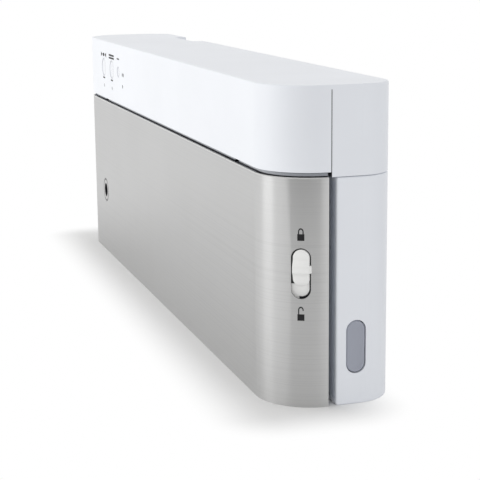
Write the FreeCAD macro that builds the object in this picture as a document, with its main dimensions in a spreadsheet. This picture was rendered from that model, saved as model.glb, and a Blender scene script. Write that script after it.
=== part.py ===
import FreeCAD, Part
import math
import os

import Sketcher

# Countertop vacuum sealer, standing on its bag edge as it is stored.
# Millimetres. +Z up, the lid faces -Y, the length runs along X.
# Origin: centre of the footprint, on the surface that it stands on.

os.makedirs("parts", exist_ok=True)

Vector = FreeCAD.Vector
Rotation = FreeCAD.Rotation
Placement = FreeCAD.Placement

doc = FreeCAD.newDocument("vacuum_sealer")
dims = doc.addObject("Spreadsheet::Sheet", "dims")

DRIVING = {
    # overall
    "length": 420,
    "depth": 61,
    "height": 146,
    "front_radius": 26,
    "rear_radius": 18,
    "wall": 2.4,
    "inner_round": 0.5,
    "lip_round": 1,
    "seam_round": 0.3,
    "edge_round": 0.8,
    "top_plate": 2,
    "overcut": 1,
    "slack": 0.1,
    # seams between the casings
    "seam_height": 105.5,
    "hinge_gap": 2.2,
    "seam_gap": 0.3,
    "lid_depth": 26.2,
    "lid_gap": 3.8,
    "cover_depth": 27.4,
    # lid
    "skin": 0.8,
    "frame_wall": 2,
    "frame_back": 2.6,
    "frame_inset": 0.7,
    "rib": 1.6,
    "rib_pitch": 60,
    # hinge
    "axis_inset": 4,
    "hinge_x": 150,
    "arm_width": 6,
    "arm_radius": 2.8,
    "arm_reach": 11.2,
    "arm_leg": 4.8,
    "arm_slack": 0.4,
    "arm_foot": 18,
    "arm_sole": 2,
    "arm_step": 0.8,
    "arm_toe": 1,
    "arm_heel": 5,
    "knuckle": 22,
    "knuckle_reach": 5,
    "pin_radius": 1.2,
    "pin_length": 20,
    "pin_slack": 0.06,
    "pin_fit": 0.02,
    # working deck
    "deck": 2.2,
    "deck_inset": 0.3,
    "trough_length": 316,
    "trough_height": 22,
    "trough_depth": 11,
    "trough_z": 45,
    "trough_wall": 1.6,
    "gasket_length": 340,
    "gasket_height": 42,
    "gasket_width": 6,
    "gasket_proud": 1.6,
    "gasket_seat": 0.8,
    "bar_length": 304,
    "bar_height": 10,
    "bar_depth": 4,
    "bar_z": 13,
    "bar_proud": 0.4,
    "element_height": 2.6,
    "element_inset": 2,
    "element": 0.2,
    "tape": 0.15,
    "rubber_height": 8,
    "rubber_proud": 2,
    "rubber_seat": 1.5,
    "cross_rib_z": 77,
    # accessory port
    "port_x": 152.6,
    "port_z": 43.3,
    "port_bore": 4.25,
    "port_ring": 8,
    "port_body": 6,
    "port_lip": 2,
    # latch slide
    "latch_angle": 27.5,
    "latch_z": 62.3,
    "slot_length": 23.2,
    "slot_width": 9,
    "slot_reach": 6,
    "window_depth": 7,
    "knob_length": 17,
    "knob_width": 7.8,
    "knob_slack": 0.6,
    "knob_proud": 0.4,
    "ridge_proud": 2.5,
    "ridge": 4.4,
    "ridge_drop": 2.8,
    "scoop_radius": 9,
    "scoop_x": 7.4,
    "scoop_drop": 2.6,
    "slide_plate": 1.2,
    "slide_face": -1.9,
    "slide_length": 32,
    "slide_width": 11.6,
    "slide_cover": 6,
    "slide_slack": 0.5,
    "tongue_x": 190,
    "tongue": 4,
    "tongue_front": -17,
    "tongue_back": 3,
    "tongue_bottom": 54,
    "tongue_top": 62,
    "tongue_slack": 0.6,
    "arm_end": 204.5,
    "pocket_half": 3.6,
    "pocket_bottom": 45,
    "pocket_top": 66,
    # release button
    "release_y": 9,
    "release_z": 27,
    "release_length": 24.4,
    "release_width": 9,
    "release_recess": 0.4,
    "release_slack": 0.35,
    "pad_depth": 4,
    "release_flange": 1.4,
    "flange_lip": 1.8,
    "flange_inset": 4.5,
    "stem_radius": 2.8,
    "stem_length": 13,
    "stem_inset": 16.5,
    "spring_wall": 2.4,
    "spring_wall_inset": 21.5,
    "spring_wall_top": 40,
    "spring_turns": 5,
    "spring_radius": 3.9,
    "spring_wire": 0.4,
    "spring_slack": 0.05,
    # control panel
    "key_radius": 5.5,
    "mode_radius": 3,
    "key_z": 128.3,
    "key_slack": 0.25,
    "key_step": 0.4,
    "key_flange": 1.1,
    "key_stem": 1.5,
    "key_edge": 0.3,
    "key_rim": 1,
    "key_reach": 1.7,
    "vacuum_x": -147.5,
    "seal_x": -122.5,
    "mode_x": -102,
    "lens_radius": 1.2,
    "lens_z": 116,
    "lens_reach": 3.5,
    "lamp_height": 4,
    "board_front": -20,
    "board": 1.6,
    "board_left": -176,
    "board_right": -86,
    "board_bottom": 113.5,
    "board_top": 140,
    "switch": 6,
    "switch_height": 3.3,
    "switch_stem": 1.7,
    "switch_reach": 4.2,
    # air path
    "hose_x": 45,
    "hose_y": 23,
    "hose_radius": 3.5,
    "hose_bore": 2.5,
    "hose_bend": 6,
    "hose_top": 115.9,
    "hose_slack": 0.4,
    "nipple_radius": 2.5,
    "nipple_flange": 4,
    "nipple_rim": 1,
    "nipple_bore": 1.4,
    "barb_radius": 2.4,
    "barb_length": 3,
    "pump_left": 28,
    "pump_right": 72,
    "pump_front": -8,
    "pump_back": 26,
    "pump_bottom": 116,
    "pump_top": 138,
    "pump_spigot": 2.3,
    "spigot_length": 5,
    "outlet_x": 58,
    "pump_head": 9.5,
    "pump_head_depth": 8,
    "pump_head_offset": 11,
    "motor_y": 8,
    # transformer
    "core_x": -27,
    "core_half": 21,
    "core_limb": 7,
    "core_front": -6,
    "core_back": 14,
    "core_bottom": 111,
    "core_top": 141,
    "core_yoke": 6,
    "coil_over": 6.5,
    "coil_gap": 0.2,
    # feet, screws and cord inlet
    "foot_radius": 7,
    "foot_proud": 0.8,
    "foot_seat": 1.2,
    "foot_round": 0.4,
    "screw_head": 2.9,
    "screw_radius": 1.45,
    "screw_depth": 4,
    "screw_length": 18,
    "low_screw_x": 140,
    "low_screw_bottom": 27,
    "low_screw_top": 84,
    "high_screw_x": 187,
    "high_screw_middle": 8,
    "foot_x": 178,
    "foot_low": 16,
    "foot_high": 126,
    "post_radius": 3.75,
    "low_post_join": 8.2,
    "high_post_join": 12,
    "post_gap": 0.2,
    "pilot_start": 3,
    "low_pilot": 10,
    "high_pilot": 12,
    "notch_left": 157,
    "notch_right": 110,
    "notch_depth": 8.7,
    "notch_floor": 117,
    "tray_wall": 2,
    "cord_z": 131,
    "cord_radius": 3.4,
    "grommet_lip": 3,
    "grommet_neck": 1.6,
    "grommet_flange": 1.5,
}

for row, (alias, value) in enumerate(DRIVING.items(), start=1):
    dims.set("A%d" % row, alias)
    dims.set("B%d" % row, str(value))
    dims.setAlias("B%d" % row, alias)
doc.recompute()

FRONT = "(-dims.depth / 2)"
REAR = "(dims.depth / 2 - dims.foot_proud)"
INSIDE_REAR = "(%s - dims.wall / 2)" % REAR
HALF = "(dims.length / 2)"
LID_BACK = "(-dims.depth / 2 + dims.lid_depth)"
BASE_FRONT = "(-dims.depth / 2 + dims.lid_depth + dims.lid_gap)"
DECK_FRONT = "(%s + dims.deck_inset)" % BASE_FRONT
PARTING = "(-dims.depth / 2 + dims.cover_depth)"
BASE_TOP = "(dims.seam_height - dims.seam_gap)"
COVER_BOTTOM = "(dims.seam_height + dims.hinge_gap)"
PLATE_BOTTOM = "(dims.height - dims.top_plate)"
AXIS_Y = "(-dims.depth / 2 + dims.axis_inset)"
AXIS_Z = "(dims.seam_height - dims.axis_inset)"

SIDES = {"right": 1, "left": -1}

ALONG = {
    "x": Rotation(Vector(0, 1, 0), 90),
    "y": Rotation(Vector(1, 0, 0), -90),
    "z": Rotation(),
}
PLAN = Rotation()
FACING_FRONT = Rotation(Vector(1, 0, 0), 90)
FACING_END = Rotation(Vector(1, 1, 1), 120)
UPRIGHT_END = FACING_END.multiply(Rotation(Vector(0, 0, 1), 90))


def number(expression):
    """Value of an expression on the sheet's dimensions."""
    return float(dims.evalExpression(str(expression)))


def put(piece, place):
    """Bind a piece's position to three expressions."""
    for axis, expression in zip("xyz", place):
        piece.setExpression("Placement.Base." + axis, str(expression))


def box(name, low, high):
    """Block between two corners given as expressions."""
    piece = doc.addObject("Part::Box", name)
    for side, start, end in zip(("Length", "Width", "Height"), low, high):
        piece.setExpression(side, "(%s) - (%s)" % (end, start))
    put(piece, low)
    return piece


def rod(name, start, axis, radius, length):
    """Round bar from a start point along one axis."""
    piece = doc.addObject("Part::Cylinder", name)
    piece.Placement = Placement(Vector(), ALONG[axis])
    piece.setExpression("Radius", str(radius))
    piece.setExpression("Height", str(length))
    put(piece, start)
    return piece


def fuse(name, *pieces):
    whole = doc.addObject("Part::MultiFuse", name)
    whole.Shapes = list(pieces)
    whole.Refine = True
    return whole


def cut(name, body, *tools):
    rest = doc.addObject("Part::Cut", name)
    rest.Base = body
    rest.Tool = tools[0] if len(tools) == 1 else fuse(name + "_tools", *tools)
    rest.Refine = True
    return rest


def common(name, one, other):
    shared = doc.addObject("Part::Common", name)
    shared.Base = one
    shared.Tool = other
    shared.Refine = True
    return shared


def mirrored(name, piece):
    """The same piece on the other end of the machine."""
    twin = doc.addObject("Part::Mirroring", name)
    twin.Source = piece
    twin.Normal = Vector(1, 0, 0)
    return twin


def new_sketch(name, turn, place):
    sketch = doc.addObject("Sketcher::SketchObject", name)
    sketch.Placement = Placement(Vector(), turn)
    put(sketch, place)
    return sketch


def name_sizes(sketch, sizes):
    """Add dimension constraints and bind each one to its expression."""
    for label, (kind, refs, expression) in sizes.items():
        index = sketch.addConstraint(Sketcher.Constraint(kind, *refs, number(expression)))
        sketch.renameConstraint(index, label)
        sketch.setExpression("Constraints." + label, str(expression))


def link(sketch, kind, *joints):
    """Join the end of each curve to the start of the next."""
    for one, other in joints:
        sketch.addConstraint(Sketcher.Constraint(kind, one, 2, other, 1))


def plan_outline(name, bottom, front, rear, inset, front_round, rear_round=None):
    """Plan of the machine: straight sides, round front corners, round or square rear corners."""
    sketch = new_sketch(name, PLAN, ("0", front, bottom))
    half_size = "%s - (%s)" % (HALF, inset)
    deep_size = "(%s) - (%s)" % (rear, front)
    half = number(half_size)
    deep = number(deep_size)
    fr = number(front_round)
    rr = number(rear_round) if rear_round else 0.0
    up = Vector(0, 0, 1)

    def line(x0, y0, x1, y1):
        return Part.LineSegment(Vector(x0, y0, 0), Vector(x1, y1, 0))

    def arc(x, y, radius, start):
        circle = Part.Circle(Vector(x, y, 0), up, radius)
        return Part.ArcOfCircle(circle, math.radians(start), math.radians(start + 90))

    curves = [
        line(fr - half, 0, half - fr, 0),
        arc(half - fr, fr, fr, 270),
        line(half, fr, half, deep - rr),
        line(half - rr, deep, rr - half, deep),
        line(-half, deep - rr, -half, fr),
        arc(fr - half, fr, fr, 180),
    ]
    if rear_round:
        curves.insert(3, arc(half - rr, deep - rr, rr, 0))
        curves.insert(5, arc(rr - half, deep - rr, rr, 90))
    sketch.addGeometry(curves, False)
    count = len(curves)
    rear_line = 4 if rear_round else 3
    left_line = count - 2
    front_left = count - 1
    link(sketch, "Tangent", (0, 1), (1, 2), (left_line, front_left), (front_left, 0))
    if rear_round:
        link(sketch, "Tangent", (2, 3), (3, 4), (4, 5), (5, 6))
    else:
        link(sketch, "Coincident", (2, 3), (3, 4))
    for level in (0, rear_line):
        sketch.addConstraint(Sketcher.Constraint("Horizontal", level))
    for upright in (2, left_line):
        sketch.addConstraint(Sketcher.Constraint("Vertical", upright))
    sketch.addConstraint(Sketcher.Constraint("PointOnObject", 0, 1, -1))
    sketch.addConstraint(Sketcher.Constraint("Equal", 1, front_left))
    sizes = {
        "right_half": ("DistanceX", (-1, 1, 2, 1), half_size),
        "left_half": ("DistanceX", (left_line, 1, -1, 1), half_size),
        "depth_across": ("DistanceY", (-1, 1, rear_line, 1), deep_size),
        "front_corner": ("Radius", (1,), front_round),
    }
    if rear_round:
        sketch.addConstraint(Sketcher.Constraint("Equal", 3, 5))
        sizes["rear_corner"] = ("Radius", (3,), rear_round)
    name_sizes(sketch, sizes)
    return sketch


def oblong_outline(name, turn, place, length, width):
    """Slot shape with round ends, centred on its place, long along the sketch's first axis."""
    sketch = new_sketch(name, turn, place)
    reach_size = "((%s) - (%s)) / 2" % (length, width)
    radius_size = "(%s) / 2" % width
    reach = number(reach_size)
    radius = number(radius_size)
    up = Vector(0, 0, 1)
    quarter = math.pi / 2
    right_end = Part.Circle(Vector(reach, 0, 0), up, radius)
    left_end = Part.Circle(Vector(-reach, 0, 0), up, radius)
    sketch.addGeometry(
        [
            Part.LineSegment(Vector(-reach, -radius, 0), Vector(reach, -radius, 0)),
            Part.ArcOfCircle(right_end, -quarter, quarter),
            Part.LineSegment(Vector(reach, radius, 0), Vector(-reach, radius, 0)),
            Part.ArcOfCircle(left_end, quarter, 3 * quarter),
        ],
        False,
    )
    link(sketch, "Tangent", (0, 1), (1, 2), (2, 3), (3, 0))
    sketch.addConstraint(Sketcher.Constraint("Horizontal", 0))
    sketch.addConstraint(Sketcher.Constraint("Horizontal", 2))
    sketch.addConstraint(Sketcher.Constraint("PointOnObject", 1, 3, -1))
    name_sizes(
        sketch,
        {
            "right_reach": ("DistanceX", (-1, 1, 1, 3), reach_size),
            "left_reach": ("DistanceX", (3, 3, -1, 1), reach_size),
            "end_radius": ("Radius", (1,), radius_size),
        },
    )
    return sketch


def prism(sketch, height):
    """Straight solid on a sketch, along the sketch's own normal."""
    piece = doc.addObject("Part::Extrusion", sketch.Name + "_solid")
    piece.Base = sketch
    piece.DirMode = "Normal"
    piece.Solid = True
    piece.setExpression("LengthFwd", str(height))
    return piece


def plan_block(name, bottom, top, front, rear, inset, front_round, rear_round=None):
    outline = plan_outline(name, bottom, front, rear, inset, front_round, rear_round)
    return prism(outline, "(%s) - (%s)" % (top, bottom))


def oblong_block(name, turn, place, length, width, height):
    return prism(oblong_outline(name, turn, place, length, width), height)


def soften(name, piece, levels):
    """Round the level edges of a block at the given heights."""
    doc.recompute()
    radius = number("dims.edge_round")
    heights = [number(level) for level in levels]
    near = 0.001
    rounded = doc.addObject("Part::Fillet", name)
    rounded.Base = piece
    picked = []
    for index, edge in enumerate(piece.Shape.Edges, start=1):
        limits = edge.BoundBox
        for height in heights:
            if abs(limits.ZMin - height) < near and abs(limits.ZMax - height) < near:
                picked.append((index, radius, radius))
    rounded.Edges = picked
    return rounded


def turned(name, place, turn, steps, bore=None):
    """Turned piece: steps of (radius, length) along its own axis, with an optional bore."""
    body = doc.addObject("PartDesign::Body", name)
    sketch = body.newObject("Sketcher::SketchObject", name + "_profile")
    upright_plane = [f for f in body.Origin.OriginFeatures if f.Role == "XZ_Plane"][0]
    sketch.AttachmentSupport = [(upright_plane, "")]
    sketch.MapMode = "FlatFace"
    inner = number(bore) if bore else 0.0
    corners = [Vector(inner, 0, 0)]
    height = 0.0
    for radius, length in steps:
        corners.append(Vector(number(radius), height, 0))
        height += number(length)
        corners.append(Vector(number(radius), height, 0))
    corners.append(Vector(inner, height, 0))
    last = len(corners) - 1
    for index, corner in enumerate(corners):
        following = corners[(index + 1) % len(corners)]
        sketch.addGeometry(Part.LineSegment(corner, following), False)
    link(sketch, "Coincident", *[(i, (i + 1) % len(corners)) for i in range(len(corners))])
    for index in range(len(corners)):
        kind = "Vertical" if index % 2 or index == last else "Horizontal"
        sketch.addConstraint(Sketcher.Constraint(kind, index))
    sketch.addConstraint(Sketcher.Constraint("PointOnObject", 0, 1, -1))
    sizes = {}
    if bore:
        sizes["bore"] = ("DistanceX", (-1, 1, 0, 1), bore)
    else:
        sketch.addConstraint(Sketcher.Constraint("PointOnObject", 0, 1, -2))
    for index, (radius, length) in enumerate(steps):
        wall = 2 * index + 1
        sizes["radius_%d" % index] = ("DistanceX", (-1, 1, wall, 1), radius)
        sizes["length_%d" % index] = ("DistanceY", (wall, 1, wall, 2), length)
    name_sizes(sketch, sizes)
    revolve = body.newObject("PartDesign::Revolution", name + "_turn")
    revolve.Profile = sketch
    revolve.ReferenceAxis = (sketch, ["V_Axis"])
    revolve.Angle = 360
    body.Tip = revolve
    body.Placement = Placement(Vector(), turn)
    put(body, place)
    return body


def spread(name, master, places):
    """Copies of one fastener or foot, as separate solids in one group."""
    doc.recompute()
    group = doc.addObject("Part::Feature", name)
    copies = []
    for place in places:
        copy = master.Shape.copy()
        copy.translate(Vector(*[number(value) for value in place]))
        copies.append(copy)
    group.Shape = Part.makeCompound(copies)
    return group


PARTS = {}


def keep(name, piece):
    """Name a finished sub-part."""
    piece.Label = name
    PARTS[name] = piece
    return piece


# Places on the hidden back

LOW_FEET = [("dims.foot_x * %d" % side, "0", "dims.foot_low") for side in (1, -1)]
HIGH_FEET = [("dims.foot_x * %d" % side, "0", "dims.foot_high") for side in (1, -1)]
LOW_SCREW_LEVELS = ("dims.low_screw_bottom", "dims.low_screw_top")
LOW_SCREWS = [("dims.low_screw_x * %d" % side, "0", z) for side in (1, -1) for z in LOW_SCREW_LEVELS]
HIGH_SCREW_PLACES = ("-dims.high_screw_x", "dims.high_screw_middle", "dims.high_screw_x")
HIGH_SCREWS = [(x, "0", "dims.foot_high") for x in HIGH_SCREW_PLACES]


def foot_seats(name, places):
    """Shallow round seats in the back for the feet."""
    floor = "%s - dims.foot_seat" % REAR
    depth = "dims.foot_seat + dims.overcut"
    return [
        rod("%s_%d" % (name, i), (x, floor, z), "y", "dims.foot_radius + 2 * dims.slack", depth)
        for i, (x, y, z) in enumerate(places)
    ]


def screw_holes(name, places, end):
    """Counterbored screw holes from the back, down to a given depth."""
    floor = "%s - dims.screw_depth" % REAR
    head_depth = "dims.screw_depth + dims.overcut"
    shank_depth = "%s - (%s)" % (REAR, end)
    holes = []
    for i, (x, y, z) in enumerate(places):
        head = "%s_head_%d" % (name, i)
        shank = "%s_shank_%d" % (name, i)
        holes.append(rod(head, (x, floor, z), "y", "dims.screw_head + 3 * dims.slack", head_depth))
        holes.append(rod(shank, (x, end, z), "y", "dims.screw_radius + dims.slack", shank_depth))
    return holes


def pilots(name, places, length):
    """Blind holes that the screws bite into."""
    radius = "dims.screw_radius + dims.slack / 2"
    return [
        rod("%s_%d" % (name, i), (x, "dims.pilot_start", z), "y", radius, length)
        for i, (x, y, z) in enumerate(places)
    ]


def posts(name, places, start, end):
    """Screw posts between two depths."""
    return [
        rod("%s_%d" % (name, i), (x, start, z), "y", "dims.post_radius", "(%s) - (%s)" % (end, start))
        for i, (x, y, z) in enumerate(places)
    ]


# Base shell: tray that opens towards the lid

base_block = plan_block(
    "base_outer", "0", BASE_TOP, BASE_FRONT, REAR, "0", "dims.lip_round", "dims.rear_radius"
)
base_block = soften("base_rounded", base_block, ("0", BASE_TOP))
base_hollow = plan_block(
    "base_inner",
    "dims.wall",
    "%s - dims.wall" % BASE_TOP,
    "%s - dims.overcut" % BASE_FRONT,
    "%s - dims.wall" % REAR,
    "dims.wall",
    "dims.inner_round",
    "dims.rear_radius - dims.wall",
)
base_tray = cut("base_tray", base_block, base_hollow)
spring_wall = "(%s - dims.spring_wall_inset)" % HALF
spring_walls = [
    box(
        "spring_wall_%s" % side,
        ("%s * %d - dims.spring_wall / 2" % (spring_wall, sign), "dims.deck", "dims.wall / 2"),
        ("%s * %d + dims.spring_wall / 2" % (spring_wall, sign), INSIDE_REAR, "dims.spring_wall_top"),
    )
    for side, sign in SIDES.items()
]
base_posts = posts("base_post", LOW_SCREWS, "dims.low_post_join", INSIDE_REAR)
base_solid = fuse("base_solid", base_tray, *(spring_walls + base_posts))
windows = [
    oblong_block(
        "release_window_%s" % side,
        UPRIGHT_END,
        ("%s * %d - 3 * dims.wall" % (HALF, sign), "dims.release_y", "dims.release_z"),
        "dims.release_length + 2 * dims.release_slack",
        "dims.release_width + 2 * dims.release_slack",
        "6 * dims.wall",
    )
    for side, sign in SIDES.items()
]


def hose_hole(name, middle):
    """Hole for the hose through one level wall."""
    start = ("dims.hose_x", "dims.hose_y", "%s - 2 * dims.wall" % middle)
    return rod(name, start, "z", "dims.hose_radius + dims.hose_slack", "4 * dims.wall")


base_cuts = windows + foot_seats("base_foot_seat", LOW_FEET)
base_cuts += screw_holes("base_screw", LOW_SCREWS, "dims.low_post_join")
base_cuts.append(hose_hole("base_hose_hole", BASE_TOP))
keep("base_shell", cut("base_shell", base_solid, *base_cuts))

# Deck plate: working face with the vacuum trough, the gasket seat and the seal bar channel

DECK_BACK = "(%s + dims.deck)" % DECK_FRONT
deck_side = "dims.length / 2 - dims.wall - dims.slack"
deck_face = box(
    "deck_face",
    ("-(%s)" % deck_side, DECK_FRONT, "dims.wall + dims.slack"),
    (deck_side, DECK_BACK, "%s - dims.wall - dims.slack" % BASE_TOP),
)
TROUGH_FLOOR = "(%s + dims.trough_depth)" % DECK_FRONT
trough_shell = oblong_block(
    "trough_shell",
    FACING_FRONT,
    ("0", "%s + dims.trough_wall" % TROUGH_FLOOR, "dims.trough_z"),
    "dims.trough_length + 2 * dims.trough_wall",
    "dims.trough_height + 2 * dims.trough_wall",
    "dims.trough_depth + dims.trough_wall",
)
bar_side = "dims.bar_length / 2"
BAR_FLOOR = "(%s + dims.bar_depth)" % DECK_FRONT
BAR_BOTTOM = "(dims.bar_z - dims.bar_height / 2)"
BAR_TOP = "(dims.bar_z + dims.bar_height / 2)"
bar_shell = box(
    "bar_shell",
    ("-(%s) - dims.trough_wall" % bar_side, DECK_FRONT, "%s - dims.trough_wall" % BAR_BOTTOM),
    (
        "%s + dims.trough_wall" % bar_side,
        "%s + dims.trough_wall" % BAR_FLOOR,
        "%s + dims.trough_wall" % BAR_TOP,
    ),
)
deck_posts = posts("deck_post", LOW_SCREWS, DECK_FRONT, "dims.low_post_join")
deck_solid = fuse("deck_solid", deck_face, trough_shell, bar_shell, *deck_posts)
trough_hollow = oblong_block(
    "trough_hollow",
    FACING_FRONT,
    ("0", TROUGH_FLOOR, "dims.trough_z"),
    "dims.trough_length",
    "dims.trough_height",
    "dims.trough_depth + dims.overcut",
)
bar_hollow = box(
    "bar_hollow",
    (
        "-(%s) - dims.slack" % bar_side,
        "%s - dims.overcut" % DECK_FRONT,
        "%s - dims.slack" % BAR_BOTTOM,
    ),
    ("%s + dims.slack" % bar_side, BAR_FLOOR, "%s + dims.slack" % BAR_TOP),
)


def gasket_ring(name, start, thickness, slack="0"):
    """Oblong foam ring round the trough, from a start plane towards -Y."""
    outer = oblong_block(
        name + "_outer",
        FACING_FRONT,
        ("0", start, "dims.trough_z"),
        "dims.gasket_length + 2 * %s" % slack,
        "dims.gasket_height + 2 * %s" % slack,
        thickness,
    )
    inner = oblong_block(
        name + "_inner",
        FACING_FRONT,
        ("0", "%s + dims.overcut" % start, "dims.trough_z"),
        "dims.gasket_length - 2 * dims.gasket_width - 2 * %s" % slack,
        "dims.gasket_height - 2 * dims.gasket_width - 2 * %s" % slack,
        "%s + 2 * dims.overcut" % thickness,
    )
    return cut(name, outer, inner)


GROOVE_DEPTH = "dims.gasket_seat + dims.overcut"
GASKET_DEPTH = "dims.gasket_seat + dims.gasket_proud"
LOWER_SEAT = "%s + dims.gasket_seat" % DECK_FRONT
gasket_groove = gasket_ring("gasket_groove", LOWER_SEAT, GROOVE_DEPTH, "dims.slack")
latch_pockets = [
    box(
        "latch_pocket_%s" % side,
        (
            "dims.tongue_x * %d - dims.pocket_half" % sign,
            "%s - dims.overcut" % DECK_FRONT,
            "dims.pocket_bottom",
        ),
        (
            "dims.tongue_x * %d + dims.pocket_half" % sign,
            "%s + dims.overcut" % DECK_BACK,
            "dims.pocket_top",
        ),
    )
    for side, sign in SIDES.items()
]
nipple_hole = rod(
    "nipple_hole",
    ("dims.hose_x", TROUGH_FLOOR, "dims.trough_z"),
    "y",
    "dims.nipple_radius + dims.slack",
    "dims.trough_wall + dims.overcut",
)
deck_cuts = [trough_hollow, bar_hollow, gasket_groove, nipple_hole] + latch_pockets
deck_cuts += pilots("pilot", LOW_SCREWS, "dims.low_pilot")
keep("deck_plate", cut("deck_plate", deck_solid, *deck_cuts))
keep("lower_gasket", gasket_ring("lower_gasket", LOWER_SEAT, GASKET_DEPTH))

# Seal bar with its heating ribbon and slippery tape

BAR_FACE = "(%s - dims.bar_proud)" % DECK_FRONT


def bar_strip(name, start, end, height, shorter):
    """Strip along the seal bar between two depths."""
    return box(
        name,
        ("-(%s) + %s" % (bar_side, shorter), end, "dims.bar_z - (%s) / 2" % height),
        ("%s - %s" % (bar_side, shorter), start, "dims.bar_z + (%s) / 2" % height),
    )


keep("seal_bar", bar_strip("seal_bar", BAR_FLOOR, BAR_FACE, "dims.bar_height", "0"))
ribbon_face = "(%s - dims.element)" % BAR_FACE
tape_face = "(%s - dims.tape)" % ribbon_face
ribbon = bar_strip("heating_element", BAR_FACE, ribbon_face, "dims.element_height", "dims.element_inset")
keep("heating_element", ribbon)
tape_edge = "dims.element_inset / 2"
tape = bar_strip("ptfe_tape", ribbon_face, tape_face, "dims.bar_height - %s" % tape_edge, tape_edge)
keep("ptfe_tape", tape)

# Air path: nipple in the trough floor, hose, pump and motor

NIPPLE_START = "(%s + dims.slack)" % TROUGH_FLOOR
nipple_body = turned(
    "trough_nipple",
    ("dims.hose_x", NIPPLE_START, "dims.trough_z"),
    ALONG["y"],
    [
        ("dims.nipple_radius", "dims.trough_wall"),
        ("dims.nipple_flange", "dims.nipple_rim"),
        ("dims.barb_radius", "dims.barb_length"),
    ],
    "dims.nipple_bore",
)
keep("trough_nipple", nipple_body)
HOSE_START = "(%s + dims.trough_wall + dims.nipple_rim)" % NIPPLE_START
BEND_Y = "(dims.hose_y - dims.hose_bend)"
BEND_Z = "(dims.trough_z + dims.hose_bend)"


def hose_core(name, radius):
    """Straight run off the nipple, a bend upwards and a straight run to the pump."""
    start = ("dims.hose_x", HOSE_START, "dims.trough_z")
    level = rod(name + "_level", start, "y", radius, "%s - %s" % (BEND_Y, HOSE_START))
    bend = doc.addObject("Part::Torus", name + "_bend")
    bend.Placement = Placement(Vector(), Rotation(Vector(0, 1, 0), 90))
    bend.setExpression("Radius1", "dims.hose_bend")
    bend.setExpression("Radius2", radius)
    bend.Angle3 = 90
    put(bend, ("dims.hose_x", BEND_Y, BEND_Z))
    corner = ("dims.hose_x", "dims.hose_y", BEND_Z)
    rise = rod(name + "_rise", corner, "z", radius, "dims.hose_top - %s" % BEND_Z)
    return fuse(name, level, bend, rise)


hose_outer = hose_core("hose_outer", "dims.hose_radius")
hose_inner = hose_core("hose_inner", "dims.hose_bore")
keep("vacuum_hose", cut("vacuum_hose", hose_outer, hose_inner))

PUMP_X = "((dims.pump_left + dims.pump_right) / 2)"
PUMP_Z = "((dims.pump_bottom + dims.pump_top) / 2)"
pump_box = box(
    "pump_box",
    ("dims.pump_left", "dims.pump_front", "dims.pump_bottom"),
    ("dims.pump_right", "dims.pump_back", "dims.pump_top"),
)
SPIGOT_Z = "dims.pump_bottom - dims.spigot_length + dims.overcut"
spigots = [
    rod("pump_spigot_%d" % i, (x, "dims.hose_y", SPIGOT_Z), "z", "dims.pump_spigot", "dims.spigot_length")
    for i, x in enumerate(("dims.hose_x", "dims.outlet_x"))
]
HEAD_Y = "dims.pump_front - dims.pump_head_depth + 2 * dims.overcut"
pump_heads = [
    rod(
        "pump_head_%d" % i,
        ("%s + dims.pump_head_offset * %d" % (PUMP_X, sign), HEAD_Y, PUMP_Z),
        "y",
        "dims.pump_head",
        "dims.pump_head_depth",
    )
    for i, sign in enumerate(SIDES.values())
]
keep("vacuum_pump", fuse("vacuum_pump", pump_box, *(spigots + pump_heads)))
MOTOR_STEPS = [("6", "2"), ("13", "32"), ("11", "4"), ("4", "3")]
motor = turned("pump_motor", ("dims.pump_right", "dims.motor_y", PUMP_Z), ALONG["x"], MOTOR_STEPS)
keep("pump_motor", motor)

# Transformer for the heating ribbon

WINDOW_BOTTOM = "(dims.core_bottom + dims.core_yoke)"
WINDOW_TOP = "(dims.core_top - dims.core_yoke)"


def core_slab(name, left, right, over, bottom, top):
    """Block across the core, in front of and behind it by the same amount."""
    return box(
        name,
        ("dims.core_x + (%s)" % left, "dims.core_front - (%s)" % over, bottom),
        ("dims.core_x + (%s)" % right, "dims.core_back + (%s)" % over, top),
    )


core_block = core_slab(
    "core_block", "-dims.core_half", "dims.core_half", "0", "dims.core_bottom", "dims.core_top"
)
CORE_GAPS = [("-2 * dims.core_limb", "-dims.core_limb"), ("dims.core_limb", "2 * dims.core_limb")]
core_windows = [
    core_slab("core_window_%d" % i, left, right, "dims.overcut", WINDOW_BOTTOM, WINDOW_TOP)
    for i, (left, right) in enumerate(CORE_GAPS)
]
keep("transformer_core", cut("transformer_core", core_block, *core_windows))
COIL_SIDE = "2 * dims.core_limb - dims.coil_gap"
coil_block = core_slab(
    "coil_block",
    "-(%s)" % COIL_SIDE,
    COIL_SIDE,
    "dims.coil_over",
    "%s + dims.coil_gap" % WINDOW_BOTTOM,
    "%s - dims.coil_gap" % WINDOW_TOP,
)
HOLE_SIDE = "dims.core_limb + dims.slack"
coil_hole = core_slab(
    "coil_hole",
    "-(%s)" % HOLE_SIDE,
    HOLE_SIDE,
    "dims.slack",
    "%s - dims.overcut" % WINDOW_BOTTOM,
    "%s + dims.overcut" % WINDOW_TOP,
)
keep("transformer_coil", cut("transformer_coil", coil_block, coil_hole))

# Rear housing: top plate, back and ends of the upper part


def top_block(name, bottom):
    """Full plan of the machine from a given level to the rounded top."""
    rounds = ("dims.front_radius", "dims.rear_radius")
    square = plan_block(name + "_plan", bottom, "dims.height", FRONT, REAR, "0", *rounds)
    return soften(name, square, ("dims.height",))


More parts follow.
